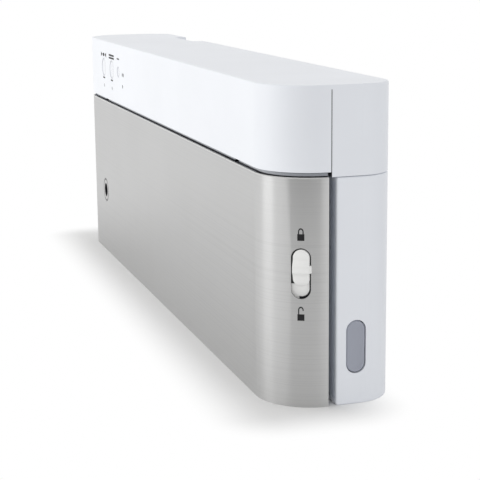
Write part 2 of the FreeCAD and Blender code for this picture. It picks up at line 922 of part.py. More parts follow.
top_plate = top_block("top_plate", PLATE_BOTTOM)
HOUSING_FRONT = "(%s + dims.seam_gap / 2)" % PARTING
housing_block = plan_block(
    "housing_outer",
    "dims.seam_height",
    PLATE_BOTTOM,
    HOUSING_FRONT,
    REAR,
    "0",
    "dims.seam_round",
    "dims.rear_radius",
)
housing_hollow = plan_block(
    "housing_inner",
    "dims.seam_height + dims.wall",
    PLATE_BOTTOM,
    "%s - dims.overcut" % HOUSING_FRONT,
    "%s - dims.wall" % REAR,
    "dims.wall",
    "dims.inner_round",
    "dims.rear_radius - dims.wall",
)
housing_tray = cut("housing_tray", housing_block, housing_hollow)
NOTCH_FRONT = "(dims.depth / 2 - dims.notch_depth)"
TRAY_LOW = (
    "-dims.notch_left - dims.tray_wall",
    "%s - dims.tray_wall" % NOTCH_FRONT,
    "dims.notch_floor - dims.tray_wall",
)
TRAY_HIGH = ("-dims.notch_right + dims.tray_wall", "dims.depth / 2", "dims.height + dims.overcut")
tray_hole = box("tray_hole", TRAY_LOW, TRAY_HIGH)
housing_posts = posts("housing_post", HIGH_SCREWS, "dims.high_post_join + dims.post_gap", INSIDE_REAR)
housing_solid = fuse("housing_solid", top_plate, housing_tray, *housing_posts)
housing_cuts = [tray_hole, hose_hole("housing_hose_hole", "dims.seam_height")]
housing_cuts += foot_seats("housing_foot_seat", HIGH_FEET)
housing_cuts += screw_holes("housing_screw", HIGH_SCREWS, "dims.high_post_join")
keep("rear_housing", cut("rear_housing", housing_solid, *housing_cuts))

# Cord tray: open recess in the back and top, with the grommet that the lead comes out of

tray_outer = box("tray_outer", TRAY_LOW, TRAY_HIGH)
tray_block = common("tray_block", tray_outer, top_block("tray_limit", "dims.seam_height"))
notch = box(
    "notch",
    ("-dims.notch_left", NOTCH_FRONT, "dims.notch_floor"),
    ("-dims.notch_right", "dims.depth / 2 + dims.overcut", "dims.height + 2 * dims.overcut"),
)
CORD_X = "(-(dims.notch_left + dims.notch_right) / 2)"
cord_hole = rod(
    "cord_hole",
    (CORD_X, "%s - 2 * dims.tray_wall" % NOTCH_FRONT, "dims.cord_z"),
    "y",
    "dims.cord_radius + dims.grommet_neck + dims.slack",
    "3 * dims.tray_wall",
)
keep("cord_tray", cut("cord_tray", tray_block, notch, cord_hole))
grommet_lip = ("dims.cord_radius + dims.grommet_lip", "dims.grommet_flange")
grommet_neck = ("dims.cord_radius + dims.grommet_neck", "dims.tray_wall")
grommet = turned(
    "cord_grommet",
    (CORD_X, "%s - dims.tray_wall - dims.grommet_flange" % NOTCH_FRONT, "dims.cord_z"),
    ALONG["y"],
    [grommet_lip, grommet_neck, grommet_lip],
    "dims.cord_radius",
)
keep("cord_grommet", grommet)

# Control cover: front of the upper part

COVER_BACK = "(%s - dims.seam_gap / 2)" % PARTING
cover_block = plan_block(
    "cover_outer", COVER_BOTTOM, PLATE_BOTTOM, FRONT, COVER_BACK, "0", "dims.front_radius"
)
cover_hollow = plan_block(
    "cover_inner",
    "%s + dims.wall" % COVER_BOTTOM,
    "%s + dims.overcut" % PLATE_BOTTOM,
    "%s + dims.wall" % FRONT,
    "%s + dims.overcut" % COVER_BACK,
    "dims.wall",
    "dims.front_radius - dims.wall",
)
cover_shell = cut("cover_shell", cover_block, cover_hollow)
cover_posts = posts("cover_post", HIGH_SCREWS, "%s + dims.wall / 2" % FRONT, "dims.high_post_join")
cover_solid = fuse("cover_solid", cover_shell, *cover_posts)
KEYS = {
    "vacuum_button": ("dims.vacuum_x", "dims.key_radius"),
    "seal_button": ("dims.seal_x", "dims.key_radius"),
    "mode_button": ("dims.mode_x", "dims.mode_radius"),
}
LENSES = ["dims.vacuum_x", "dims.seal_x"]
BEFORE_FRONT = "%s - dims.overcut" % FRONT
THROUGH_WALL = "dims.wall + 2 * dims.overcut"
key_holes = [
    rod(name + "_hole", (x, BEFORE_FRONT, "dims.key_z"), "y", radius + " + dims.key_slack", THROUGH_WALL)
    for name, (x, radius) in KEYS.items()
]
LENS_HOLE = "dims.lens_radius + dims.slack / 2"
lens_holes = [
    rod("lens_hole_%d" % i, (x, BEFORE_FRONT, "dims.lens_z"), "y", LENS_HOLE, THROUGH_WALL)
    for i, x in enumerate(LENSES)
]
LEG_FRONT = "(%s + dims.arm_reach - dims.arm_leg)" % AXIS_Y
LEG_BACK = "(%s + dims.arm_reach)" % AXIS_Y
arm_holes = [
    box(
        "arm_hole_%s" % side,
        (
            "dims.hinge_x * %d - dims.arm_width / 2 - dims.slack" % sign,
            "%s - dims.slack" % LEG_FRONT,
            "%s - dims.overcut" % COVER_BOTTOM,
        ),
        (
            "dims.hinge_x * %d + dims.arm_width / 2 + dims.slack" % sign,
            "%s + dims.slack" % LEG_BACK,
            "%s + dims.wall + dims.overcut" % COVER_BOTTOM,
        ),
    )
    for side, sign in SIDES.items()
]
cover_cuts = key_holes + lens_holes + arm_holes
cover_cuts += pilots("cover_pilot", HIGH_SCREWS, "dims.high_pilot")
keep("control_cover", cut("control_cover", cover_solid, *cover_cuts))

# Control panel: keys, light pipes, board, switches and lamps

for name, (x, radius) in KEYS.items():
    steps = [
        (radius + " - dims.key_step", "dims.key_edge"),
        (radius, "dims.wall - 2 * dims.slack"),
        (radius + " + dims.key_flange", "dims.key_rim"),
        ("dims.key_stem", "dims.key_reach"),
    ]
    keep(name, turned(name, (x, "%s + dims.slack" % FRONT, "dims.key_z"), ALONG["y"], steps))
LENS_FACE = "%s + dims.slack / 2" % FRONT
LENS_STEPS = [("dims.lens_radius", "dims.wall + dims.lens_reach")]
lens = turned("lens_master", ("0", LENS_FACE, "0"), ALONG["y"], LENS_STEPS)
lens_places = [(x, "0", "dims.lens_z") for x in LENSES]
keep("indicator_lenses", spread("indicator_lenses", lens, lens_places))
board = box(
    "control_board",
    ("dims.board_left", "dims.board_front", "dims.board_bottom"),
    ("dims.board_right", "dims.board_front + dims.board", "dims.board_top"),
)
keep("control_board", board)
switch_body = box(
    "switch_body",
    ("-dims.switch / 2", "dims.board_front - dims.switch_height", "-dims.switch / 2"),
    ("dims.switch / 2", "dims.board_front", "dims.switch / 2"),
)
switch_front = ("0", "dims.board_front - dims.switch_reach", "0")
switch_stem = rod("switch_stem", switch_front, "y", "dims.switch_stem", "dims.switch_reach / 2")
tact_switch = fuse("switch_master", switch_body, switch_stem)
switch_places = [(x, "0", "dims.key_z") for x, radius in KEYS.values()]
keep("tact_switches", spread("tact_switches", tact_switch, switch_places))
LAMP_STEPS = [("1.2", "1"), ("1.5", "2.2"), ("1.9", "0.8")]
lamp = turned("lamp_master", ("0", "dims.board_front - dims.lamp_height", "0"), ALONG["y"], LAMP_STEPS)
keep("indicator_leds", spread("indicator_leds", lamp, lens_places))

# Hinge arms: goosenecks from inside the control cover to the lid's axis

LEG_TOP = "(%s + dims.wall + dims.arm_sole)" % COVER_BOTTOM
ARM_BOTTOM = "%s - dims.arm_radius" % AXIS_Z
arm_low = "dims.hinge_x - dims.arm_width / 2"
arm_high = "dims.hinge_x + dims.arm_width / 2"
arm_eye = rod("arm_eye", (arm_low, AXIS_Y, AXIS_Z), "x", "dims.arm_radius", "dims.arm_width")
arm_bar = box(
    "arm_bar",
    (arm_low, AXIS_Y, ARM_BOTTOM),
    (arm_high, LEG_BACK, "%s + dims.arm_radius - dims.arm_step" % AXIS_Z),
)
arm_leg = box("arm_leg", (arm_low, LEG_FRONT, ARM_BOTTOM), (arm_high, LEG_BACK, LEG_TOP))
arm_foot = box(
    "arm_foot",
    ("dims.hinge_x - dims.arm_foot / 2", "%s - dims.arm_toe" % LEG_FRONT, "%s + dims.wall" % COVER_BOTTOM),
    ("dims.hinge_x + dims.arm_foot / 2", "%s + dims.arm_heel" % LEG_BACK, LEG_TOP),
)
arm_bore = rod(
    "arm_bore",
    (arm_low + " - dims.overcut", AXIS_Y, AXIS_Z),
    "x",
    "dims.pin_radius + dims.pin_slack",
    "dims.arm_width + 2 * dims.overcut",
)
arm = cut("hinge_arm_right", fuse("arm_solid", arm_eye, arm_bar, arm_leg, arm_foot), arm_bore)
keep("hinge_arm_right", arm)
keep("hinge_arm_left", mirrored("hinge_arm_left", arm))
pin_start = ("dims.hinge_x - dims.pin_length / 2", AXIS_Y, AXIS_Z)
pin = rod("hinge_pin_right", pin_start, "x", "dims.pin_radius", "dims.pin_length")
keep("hinge_pin_right", pin)
keep("hinge_pin_left", mirrored("hinge_pin_left", pin))

# Place of the latch slide on the lid's round corner

turn_angle = number("dims.latch_angle")
corner_radius = number("dims.front_radius")
corner_x = number(HALF) - corner_radius
corner_y = number(FRONT) + corner_radius
latch_x = corner_x + corner_radius * math.cos(math.radians(turn_angle))
latch_y = corner_y - corner_radius * math.sin(math.radians(turn_angle))
TO_LATCH = Placement(Vector(latch_x, latch_y, 0), Rotation(Vector(0, 0, 1), -turn_angle))


def on_corner(name, piece):
    """A piece modelled at the origin, outwards along +X, moved to the latch's place."""
    moved = doc.addObject("Part::Compound", name)
    moved.Links = [piece]
    moved.Placement = TO_LATCH
    return moved


# Lid panel: brushed sheet wrapped round the front and both ends

panel_outer = plan_block("panel_outer", "0", "dims.seam_height", FRONT, LID_BACK, "0", "dims.front_radius")
SKIN_ROUND = "dims.front_radius - dims.skin"
panel_inner = plan_block(
    "panel_inner",
    "-dims.overcut",
    "dims.seam_height + dims.overcut",
    "%s + dims.skin" % FRONT,
    "%s + dims.overcut" % LID_BACK,
    "dims.skin",
    SKIN_ROUND,
)
SLOT_FLOOR = ("-dims.slot_reach / 2", "0", "dims.latch_z")
latch_slot = oblong_block(
    "latch_slot", UPRIGHT_END, SLOT_FLOOR, "dims.slot_length", "dims.slot_width", "dims.slot_reach"
)
slot_right = on_corner("slot_right", latch_slot)
slot_left = mirrored("slot_left", slot_right)
port_place = ("-dims.port_x", BEFORE_FRONT, "dims.port_z")
panel_port = rod("panel_port", port_place, "y", "dims.port_ring + dims.slack", "2 * dims.overcut")
keep("lid_panel", cut("lid_panel", panel_outer, panel_inner, slot_right, slot_left, panel_port))

# Lid frame: ribbed plastic tray behind the panel

FRAME_FRONT = "(%s + dims.skin)" % FRONT
FRAME_BACK = "(%s - dims.frame_back)" % LID_BACK
FRAME_TOP = "(dims.seam_height - dims.frame_inset)"
RIB_BACK = "%s + dims.frame_back / 2" % FRAME_BACK
RIB_BOTTOM = "dims.frame_inset + dims.frame_wall / 2"
RIB_TOP = "%s - dims.frame_wall / 2" % FRAME_TOP
frame_outer = plan_block(
    "frame_outer", "dims.frame_inset", FRAME_TOP, FRAME_FRONT, LID_BACK, "dims.skin", SKIN_ROUND
)
frame_inner = plan_block(
    "frame_inner",
    "dims.frame_inset + dims.frame_wall",
    "%s - dims.frame_wall" % FRAME_TOP,
    "%s - dims.overcut" % FRAME_FRONT,
    FRAME_BACK,
    "dims.skin + dims.frame_wall",
    SKIN_ROUND + " - dims.frame_wall",
)
frame_tray = cut("frame_tray", frame_outer, frame_inner)
frame_ribs = [
    box(
        "frame_rib_%d" % i,
        ("dims.rib_pitch * %d - dims.rib / 2" % step, FRAME_FRONT, RIB_BOTTOM),
        ("dims.rib_pitch * %d + dims.rib / 2" % step, RIB_BACK, RIB_TOP),
    )
    for i, step in enumerate((-2, -1, 0, 1, 2))
]
cross_rib = box(
    "cross_rib",
    ("-dims.rib_pitch * 2", FRAME_FRONT, "dims.cross_rib_z"),
    ("dims.rib_pitch * 2", RIB_BACK, "dims.cross_rib_z + dims.rib"),
)
knuckles = [
    box(
        "knuckle_%s" % side,
        (
            "dims.hinge_x * %d - dims.knuckle / 2" % sign,
            FRAME_FRONT,
            "%s - dims.knuckle_reach" % AXIS_Z,
        ),
        (
            "dims.hinge_x * %d + dims.knuckle / 2" % sign,
            "%s + dims.knuckle_reach" % AXIS_Y,
            "%s - dims.frame_wall / 4" % FRAME_TOP,
        ),
    )
    for side, sign in SIDES.items()
]
frame_solid = fuse("frame_solid", frame_tray, cross_rib, *(frame_ribs + knuckles))
arm_slots = [
    box(
        "arm_slot_%s" % side,
        (
            "dims.hinge_x * %d - dims.arm_width / 2 - dims.arm_slack" % sign,
            "%s - dims.overcut" % FRAME_FRONT,
            "%s - dims.arm_slack" % ARM_BOTTOM,
        ),
        (
            "dims.hinge_x * %d + dims.arm_width / 2 + dims.arm_slack" % sign,
            "%s + 2 * dims.arm_slack" % LEG_BACK,
            "dims.seam_height + dims.overcut",
        ),
    )
    for side, sign in SIDES.items()
]
pin_bores = [
    rod(
        "pin_bore_%s" % side,
        ("dims.hinge_x * %d - dims.knuckle / 2 - dims.overcut" % sign, AXIS_Y, AXIS_Z),
        "x",
        "dims.pin_radius + dims.pin_fit",
        "dims.knuckle + 2 * dims.overcut",
    )
    for side, sign in SIDES.items()
]
SLIDE_TRAVEL = "(dims.slot_length - dims.knob_length - 2 * dims.knob_slack)"
SLIDE_TOP = "(dims.latch_z + dims.slot_length / 2 + dims.slide_cover)"
SLIDE_BOTTOM = "(%s - dims.slide_length)" % SLIDE_TOP
window_side = "dims.slide_width / 2 + dims.slide_slack"
WINDOW_LOW = "%s - %s - dims.slide_slack" % (SLIDE_BOTTOM, SLIDE_TRAVEL)
WINDOW_HIGH = "%s + dims.slide_slack" % SLIDE_TOP
window_box = box(
    "latch_window",
    ("-dims.window_depth", "-(%s)" % window_side, WINDOW_LOW),
    ("dims.frame_wall", window_side, WINDOW_HIGH),
)
window_right = on_corner("window_right", window_box)
window_left = mirrored("window_left", window_right)
tongue_side = "dims.tongue / 2 + dims.tongue_slack"
tongue_slots = [
    box(
        "tongue_slot_%s" % side,
        (
            "dims.tongue_x * %d - (%s)" % (sign, tongue_side),
            "%s - dims.overcut" % FRAME_BACK,
            "dims.tongue_bottom - %s - dims.tongue_slack" % SLIDE_TRAVEL,
        ),
        (
            "dims.tongue_x * %d + %s" % (sign, tongue_side),
            "%s + dims.overcut" % LID_BACK,
            "dims.tongue_top + dims.tongue_slack",
        ),
    )
    for side, sign in SIDES.items()
]
frame_port = rod(
    "frame_port",
    ("-dims.port_x", "%s - dims.overcut" % FRAME_BACK, "dims.port_z"),
    "y",
    "dims.port_body + dims.slack / 2",
    "dims.frame_back + 2 * dims.overcut",
)
lid_groove = gasket_ring("lid_groove", "%s + dims.overcut" % LID_BACK, GROOVE_DEPTH, "dims.slack")
RUBBER_SEAT = "(%s - dims.rubber_seat)" % LID_BACK
RUBBER_BOTTOM = "(dims.bar_z - dims.rubber_height / 2)"
RUBBER_TOP = "(dims.bar_z + dims.rubber_height / 2)"
rubber_groove = box(
    "rubber_groove",
    ("-(%s) - dims.slack" % bar_side, RUBBER_SEAT, "%s - dims.slack" % RUBBER_BOTTOM),
    ("%s + dims.slack" % bar_side, "%s + dims.overcut" % LID_BACK, "%s + dims.slack" % RUBBER_TOP),
)
frame_cuts = arm_slots + pin_bores + tongue_slots
frame_cuts += [window_right, window_left, frame_port, lid_groove, rubber_groove]
keep("lid_frame", cut("lid_frame", frame_solid, *frame_cuts))
UPPER_SEAT = "%s + dims.gasket_proud" % LID_BACK
keep("upper_gasket", gasket_ring("upper_gasket", UPPER_SEAT, GASKET_DEPTH))
rubber = box(
    "sealing_rubber",
    ("-(%s)" % bar_side, RUBBER_SEAT, RUBBER_BOTTOM),
    (bar_side, "%s + dims.rubber_proud" % LID_BACK, RUBBER_TOP),
)
keep("sealing_rubber", rubber)
port = turned(
    "accessory_port",
    ("-dims.port_x", FRONT, "dims.port_z"),
    ALONG["y"],
    [
        ("dims.port_ring", "dims.skin"),
        ("dims.port_ring + dims.port_lip", "dims.port_lip / 2"),
        ("dims.port_body", "dims.lid_depth - dims.skin - dims.port_lip / 2"),
    ],
    "dims.port_bore",
)
keep("accessory_port", port)

# Latch slide: knob with a thumb ridge, sliding plate and tongue

KNOB_Z = "(dims.latch_z + dims.slot_length / 2 - dims.knob_length / 2 - dims.knob_slack)"
plate = box(
    "slide_plate",
    ("dims.slide_face - dims.slide_plate", "-dims.slide_width / 2", SLIDE_BOTTOM),
    ("dims.slide_face", "dims.slide_width / 2", SLIDE_TOP),
)
knob_stock = oblong_block(
    "knob_stock",
    UPRIGHT_END,
    ("dims.slide_face - dims.slide_plate / 2", "0", KNOB_Z),
    "dims.knob_length",
    "dims.knob_width",
    "dims.slot_reach",
)
knob_crown = rod(
    "knob_crown",
    ("-dims.front_radius", "0", "0"),
    "z",
    "dims.front_radius + dims.knob_proud",
    "dims.seam_height",
)
knob_pad = common("knob_pad", knob_stock, knob_crown)
RIDGE_Z = "(%s - dims.ridge_drop)" % KNOB_Z
ridge = box(
    "ridge",
    ("dims.slide_face / 2", "-dims.knob_width / 2", "%s - dims.ridge / 2" % RIDGE_Z),
    ("dims.ridge_proud", "dims.knob_width / 2", "%s + dims.ridge / 2" % RIDGE_Z),
)
SCOOP_Z = "%s - dims.knob_length / 2 - dims.scoop_drop" % KNOB_Z
scoop_start = ("dims.scoop_x", "-dims.knob_width", SCOOP_Z)
thumb_scoop = rod("thumb_scoop", scoop_start, "y", "dims.scoop_radius", "2 * dims.knob_width")
scooped_pad = cut("scooped_pad", knob_pad, thumb_scoop)
knob = on_corner("knob", fuse("knob_solid", plate, scooped_pad, ridge))
TONGUE_LOW = ("dims.tongue_x - dims.tongue / 2", "dims.tongue_front", "dims.tongue_bottom")
tongue = box(
    "tongue", TONGUE_LOW, ("dims.tongue_x + dims.tongue / 2", "dims.tongue_back", "dims.tongue_top")
)
tongue_arm = box(
    "tongue_arm", TONGUE_LOW, ("dims.arm_end", "dims.tongue_front + dims.tongue", "dims.tongue_top")
)
slider = fuse("latch_slider_right", knob, tongue, tongue_arm)
keep("latch_slider_right", slider)
keep("latch_slider_left", mirrored("latch_slider_left", slider))

# Release button: oval pad that follows the casing, with a retaining flange, a stem and a spring

pad_stock = oblong_block(
    "release_stock",
    UPRIGHT_END,
    ("%s - dims.pad_depth" % HALF, "dims.release_y", "dims.release_z"),
    "dims.release_length",
    "dims.release_width",
    "2 * dims.pad_depth",
)
pad_limit = plan_block(
    "release_limit",
    "0",
    "dims.release_z + dims.release_length",
    BASE_FRONT,
    "%s - dims.release_recess" % REAR,
    "dims.release_recess",
    "1",
    "dims.rear_radius - dims.release_recess",
)
pad = common("release_pad", pad_stock, pad_limit)
FLANGE_X = "(%s - dims.flange_inset)" % HALF
flange = oblong_block(
    "release_flange",
    UPRIGHT_END,
    (FLANGE_X, "dims.release_y", "dims.release_z"),
    "dims.release_length + 2 * dims.flange_lip",
    "dims.release_width + 2 * dims.flange_lip",
    "dims.release_flange",
)
stem_start = ("%s - dims.stem_inset" % HALF, "dims.release_y", "dims.release_z")
stem = rod("release_stem", stem_start, "x", "dims.stem_radius", "dims.stem_length")
release = fuse("release_button_right", pad, flange, stem)
keep("release_button_right", release)
keep("release_button_left", mirrored("release_button_left", release))

wire = number("dims.spring_wire")
coil_radius = number("dims.spring_radius")
spring_start = number("%s + dims.spring_wall / 2 + dims.spring_wire + dims.spring_slack" % spring_wall)
spring_end = number("%s - dims.spring_wire - dims.spring_slack" % FLANGE_X)
spring_pitch = (spring_end - spring_start) / number("dims.spring_turns")
helix = Part.makeHelix(spring_pitch, spring_end - spring_start, coil_radius)
wire_section = Part.Wire(Part.makeCircle(wire, Vector(coil_radius, 0, 0), Vector(0, 1, 0)))
spring = doc.addObject("Part::Feature", "release_spring_right")
spring.Shape = Part.Wire(helix).makePipeShell([wire_section], True, True)
spring_place = Vector(spring_start, number("dims.release_y"), number("dims.release_z"))
spring.Placement = Placement(spring_place, ALONG["x"])
keep("release_spring_right", spring)
keep("release_spring_left", mirrored("release_spring_left", spring))

# Feet and screws on the back

FOOT_STEPS = [
    ("dims.foot_radius", "dims.foot_seat + dims.foot_proud - dims.foot_round"),
    ("dims.foot_radius - dims.foot_round", "dims.foot_round"),
]
foot = turned("foot_master", ("0", "%s - dims.foot_seat" % REAR, "0"), ALONG["y"], FOOT_STEPS)
keep("rubber_feet", spread("rubber_feet", foot, LOW_FEET + HIGH_FEET))
SCREW_END = "%s - dims.screw_depth" % REAR
screw = turned(
    "screw_master",
    ("0", "%s - dims.screw_length" % SCREW_END, "0"),
    ALONG["y"],
    [("0.8", "1"), ("dims.screw_radius", "dims.screw_length - 1"), ("dims.screw_head", "2")],
)
keep("rear_screws", spread("rear_screws", screw, LOW_SCREWS + HIGH_SCREWS))

# Check every object, then write the sub-parts

doc.recompute()
for piece in doc.Objects:
    if "Invalid" in piece.State or "Error" in piece.State:
        raise RuntimeError("failed object: " + piece.Name)
for name, piece in PARTS.items():
    if piece.Shape.isNull() or not piece.Shape.isValid():
        raise RuntimeError("bad shape: " + name)
    piece.Shape.exportStep("parts/%s.step" % name)
print("%d sub-parts written" % len(PARTS))
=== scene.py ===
import math

import bmesh
import bpy
from bpy.props import FloatProperty, FloatVectorProperty, PointerProperty
from mathutils import Matrix, Vector


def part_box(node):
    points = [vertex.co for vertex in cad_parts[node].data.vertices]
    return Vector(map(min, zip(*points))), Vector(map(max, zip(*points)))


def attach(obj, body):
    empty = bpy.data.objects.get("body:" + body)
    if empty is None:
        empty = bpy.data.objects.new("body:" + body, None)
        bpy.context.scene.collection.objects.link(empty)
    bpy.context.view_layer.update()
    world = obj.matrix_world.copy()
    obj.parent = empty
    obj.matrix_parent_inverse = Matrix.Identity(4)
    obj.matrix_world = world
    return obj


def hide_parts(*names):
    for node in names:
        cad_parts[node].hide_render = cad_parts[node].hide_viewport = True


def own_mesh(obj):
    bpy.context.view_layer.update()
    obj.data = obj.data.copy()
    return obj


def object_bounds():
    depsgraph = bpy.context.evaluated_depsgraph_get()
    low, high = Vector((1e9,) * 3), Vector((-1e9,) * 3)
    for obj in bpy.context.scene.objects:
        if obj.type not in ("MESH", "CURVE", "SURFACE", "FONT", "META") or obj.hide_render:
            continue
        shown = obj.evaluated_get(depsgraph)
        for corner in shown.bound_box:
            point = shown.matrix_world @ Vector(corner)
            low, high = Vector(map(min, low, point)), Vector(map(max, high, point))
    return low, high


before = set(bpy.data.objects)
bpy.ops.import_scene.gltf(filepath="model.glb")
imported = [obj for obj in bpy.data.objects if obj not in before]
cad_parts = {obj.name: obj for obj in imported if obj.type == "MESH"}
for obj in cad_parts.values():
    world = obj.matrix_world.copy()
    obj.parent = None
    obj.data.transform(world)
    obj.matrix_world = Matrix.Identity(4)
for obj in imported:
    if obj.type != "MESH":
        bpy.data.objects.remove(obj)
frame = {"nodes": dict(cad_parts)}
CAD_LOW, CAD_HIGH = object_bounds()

bl_info = {
    "name": "Vacuum Sealer",
    "version": (1, 0, 0),
    "blender": (4, 5, 0),
    "location": "View3D > Sidebar > Sealer",
    "description": "Finishes and small pieces of a countertop vacuum sealer that stands on edge",
    "category": "Object",
}

MM = 0.001
NODES = frame["nodes"]

# Lid

LID_LOW, LID_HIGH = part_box("lid_panel")
LID_FACE = LID_LOW.y
# Strip along the lid's top edge that carries a painted highlight, and the level where it starts
RIM_HIGHLIGHT_STRIP = 0.45 * MM
LID_RIM = LID_HIGH.z - RIM_HIGHLIGHT_STRIP
CORNER_RADIUS = 26 * MM
CORNER = Vector((LID_HIGH.x - CORNER_RADIUS, LID_FACE + CORNER_RADIUS, 0))

# Latch, on the lid's round corner

LATCH_ANGLE = math.radians(27.5)
LATCH_OUT = Vector((math.cos(LATCH_ANGLE), -math.sin(LATCH_ANGLE), 0))
LATCH_ACROSS = Vector((math.sin(LATCH_ANGLE), math.cos(LATCH_ANGLE), 0))
LATCH_PLACE = CORNER + LATCH_OUT * CORNER_RADIUS
SLOT_Z = 62.3 * MM
SLOT_REACH = 7.1 * MM
SLOT_DEPTH = 1.2 * MM
RAMP_TOP = 57.4 * MM
KNOB_LENGTH = 17 * MM
KNOB_WIDTH = 7.5 * MM
KNOB_SHIFT = 0.15 * MM
KNOB_Z = 64.8 * MM
KNOB_FRONT_PART = 1 * MM

# Painted shade that the finishes put in hollows: its tone and places

SHADOW_TONE = (0.02, 0.02, 0.024)
SEAM_Y = LID_FACE + 27.4 * MM
SEAM_HALF = 0.2 * MM
PLATE_BOTTOM = CAD_HIGH.z - 2 * MM
GROOVE_Z = LID_RIM + 0.3 * MM
GROOVE_HALF = 0.5 * MM
PORT_BORE = 4.8 * MM
PORT_RIM = 7.4 * MM
PORT_RIM_HALF = 0.7 * MM
PORT_RIM_SHADE = 0.8


# Modelling helpers

FACING = 0.9
MERGE_REACH = 1e-7


def mm(*values):
    """Millimetres in the frame's metres."""
    return tuple(value * MM for value in values)


def middle_of(node):
    """Centre of a node's box."""
    low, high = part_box(node)
    return (low + high) / 2


def clear_selection():
    """Leave edit mode with nothing selected."""
    if bpy.context.object and bpy.context.object.mode != "OBJECT":
        bpy.ops.object.mode_set(mode="OBJECT")
    bpy.ops.object.select_all(action="DESELECT")


def select_only(piece):
    """Select one piece and make it the active one."""
    clear_selection()
    piece.select_set(True)
    bpy.context.view_layer.objects.active = piece


def into_edit(piece):
    """Start to edit one piece."""
    select_only(piece)
    bpy.ops.object.mode_set(mode="EDIT")


def out_of_edit():
    """Go back to object mode."""
    bpy.ops.object.mode_set(mode="OBJECT")


def select_mesh():
    """Select all of the edited mesh."""
    bpy.ops.mesh.select_all(action="SELECT")


def pull(step):
    """Draw the selected part of the edited mesh out by a step."""
    bpy.ops.mesh.extrude_region_move(TRANSFORM_OT_translate={"value": step})


def close_shape():
    """Turn all faces of the edited piece outwards and leave edit mode."""
    select_mesh()
    bpy.ops.mesh.normals_make_consistent(inside=False)
    out_of_edit()


def named(name):
    """Name the piece that was just added."""
    piece = bpy.context.object
    piece.name = name
    piece.data.name = name
    return piece


def pick(piece, kind, test):
    """Select the vertices, edges or faces that pass a test, in edit mode."""
    bpy.ops.mesh.select_all(action="DESELECT")
    bpy.ops.mesh.select_mode(type=kind)
    mesh = bmesh.from_edit_mesh(piece.data)
    for part in {"VERT": mesh.verts, "EDGE": mesh.edges, "FACE": mesh.faces}[kind]:
        if test(part):
            part.select_set(True)
    mesh.select_flush_mode()
    bmesh.update_edit_mesh(piece.data)


def apply_place(piece):
    """Put the object's place into its mesh."""
    select_only(piece)
    bpy.ops.object.transform_apply(location=True, rotation=True, scale=True)


def modify(piece, kind, **settings):
    """Add a modifier and apply it."""
    select_only(piece)
    modifier = piece.modifiers.new(kind.title(), kind)
    for label, value in settings.items():
        setattr(modifier, label, value)
    bpy.ops.object.modifier_apply(modifier=modifier.name)


def shade(piece, angle=38):
    """Shade smoothly over edges that are flatter than an angle in degrees."""
    select_only(piece)
    bpy.ops.object.shade_smooth_by_angle(angle=math.radians(angle))


def round_edges(piece, width, segments=3, angle=35):
    """Round the edges that are sharper than an angle in degrees, then shade smoothly."""
    limit = math.radians(angle)
    modify(piece, "BEVEL", width=width, segments=segments, limit_method="ANGLE", angle_limit=limit)
    shade(piece)


def carve(piece, tool, operation):
    """Cut or cross a piece with a tool, and throw the tool away."""
    modify(piece, "BOOLEAN", object=tool, operation=operation, solver="EXACT")
    bpy.data.objects.remove(tool)


def block(name, low, high):
    """Block between two corners, as a start for shaping."""
    clear_selection()
    low = Vector(low)
    high = Vector(high)
    bpy.ops.mesh.primitive_cube_add(size=1, location=(low + high) / 2)
    piece = named(name)
    piece.scale = high - low
    apply_place(piece)
    return piece


def oblong(name, length, width, depth, facing, place, segments=64):
    """Round-ended block: it faces along X and is long in Z, or faces along Y and is long in X."""
    clear_selection()
    turn = (0, math.pi / 2, 0) if facing == "X" else (math.pi / 2, 0, 0)
    bpy.ops.mesh.primitive_cylinder_add(vertices=segments, radius=width / 2, depth=depth, rotation=turn)
    piece = named(name)
    apply_place(piece)
    along = 2 if facing == "X" else 0
    reach = (length - width) / 2
    middle_band = width * 0.001
    into_edit(piece)
    for side in (1, -1):
        step = Vector((0, 0, 0))
        step[along] = side * reach
        pick(piece, "VERT", lambda v: side * v.co[along] > middle_band)
        bpy.ops.transform.translate(value=step)
    out_of_edit()
    piece.location = place
    apply_place(piece)
    return piece


def drawn(name, points, depth):
    """Outline drawn from point to point, filled and pulled out by a depth."""
    clear_selection()
    bpy.ops.mesh.primitive_plane_add(size=MM, location=(0, 0, 0))
    piece = named(name)
    into_edit(piece)
    select_mesh()
    bpy.ops.mesh.merge(type="CENTER")
    bpy.ops.mesh.select_mode(type="VERT")
    select_mesh()
    place = Vector((0, 0, 0))
    for index, point in enumerate(points):
        step = Vector(point) - place
        if index:
            pull(step)
        else:
            bpy.ops.transform.translate(value=step)
        place = Vector(point)
    select_mesh()
    bpy.ops.mesh.edge_face_add()
    pull(Vector(depth))
    close_shape()
    return piece


def rings(start, steps):
    """Rings of (radius, distance) in metres from steps in millimetres behind a start."""
    return [(radius * MM, start + reach * MM) for radius, reach in steps]


def turned(name, steps, place=(0, 0, 0), segments=56):
    """Stepped round piece along +Y: rings of (radius, distance) drawn out one after another."""
    clear_selection()
    radius, reach = steps[0]
    across = (math.pi / 2, 0, 0)
    bpy.ops.mesh.primitive_circle_add(vertices=segments, radius=radius, fill_type="NGON", rotation=across)
    piece = named(name)
    apply_place(piece)
    into_edit(piece)
    select_mesh()
    bpy.ops.transform.translate(value=(0, reach, 0))
    for wider, further in steps[1:]:
        pull((0, further - reach, 0))
        ratio = wider / radius
        bpy.ops.transform.resize(value=(ratio, 1, ratio), center_override=(0, further, 0))
        radius, reach = wider, further
    select_mesh()
    bpy.ops.transform.translate(value=place)
    close_shape()
    return piece


def open_middle(piece, wall):
    """Make a ring along Y: both caps are inset by the wall and bridged."""
    into_edit(piece)
    pick(piece, "FACE", lambda f: abs(f.normal.y) > FACING)
    bpy.ops.mesh.inset(thickness=wall)
    bpy.ops.mesh.bridge_edge_loops()
    close_shape()


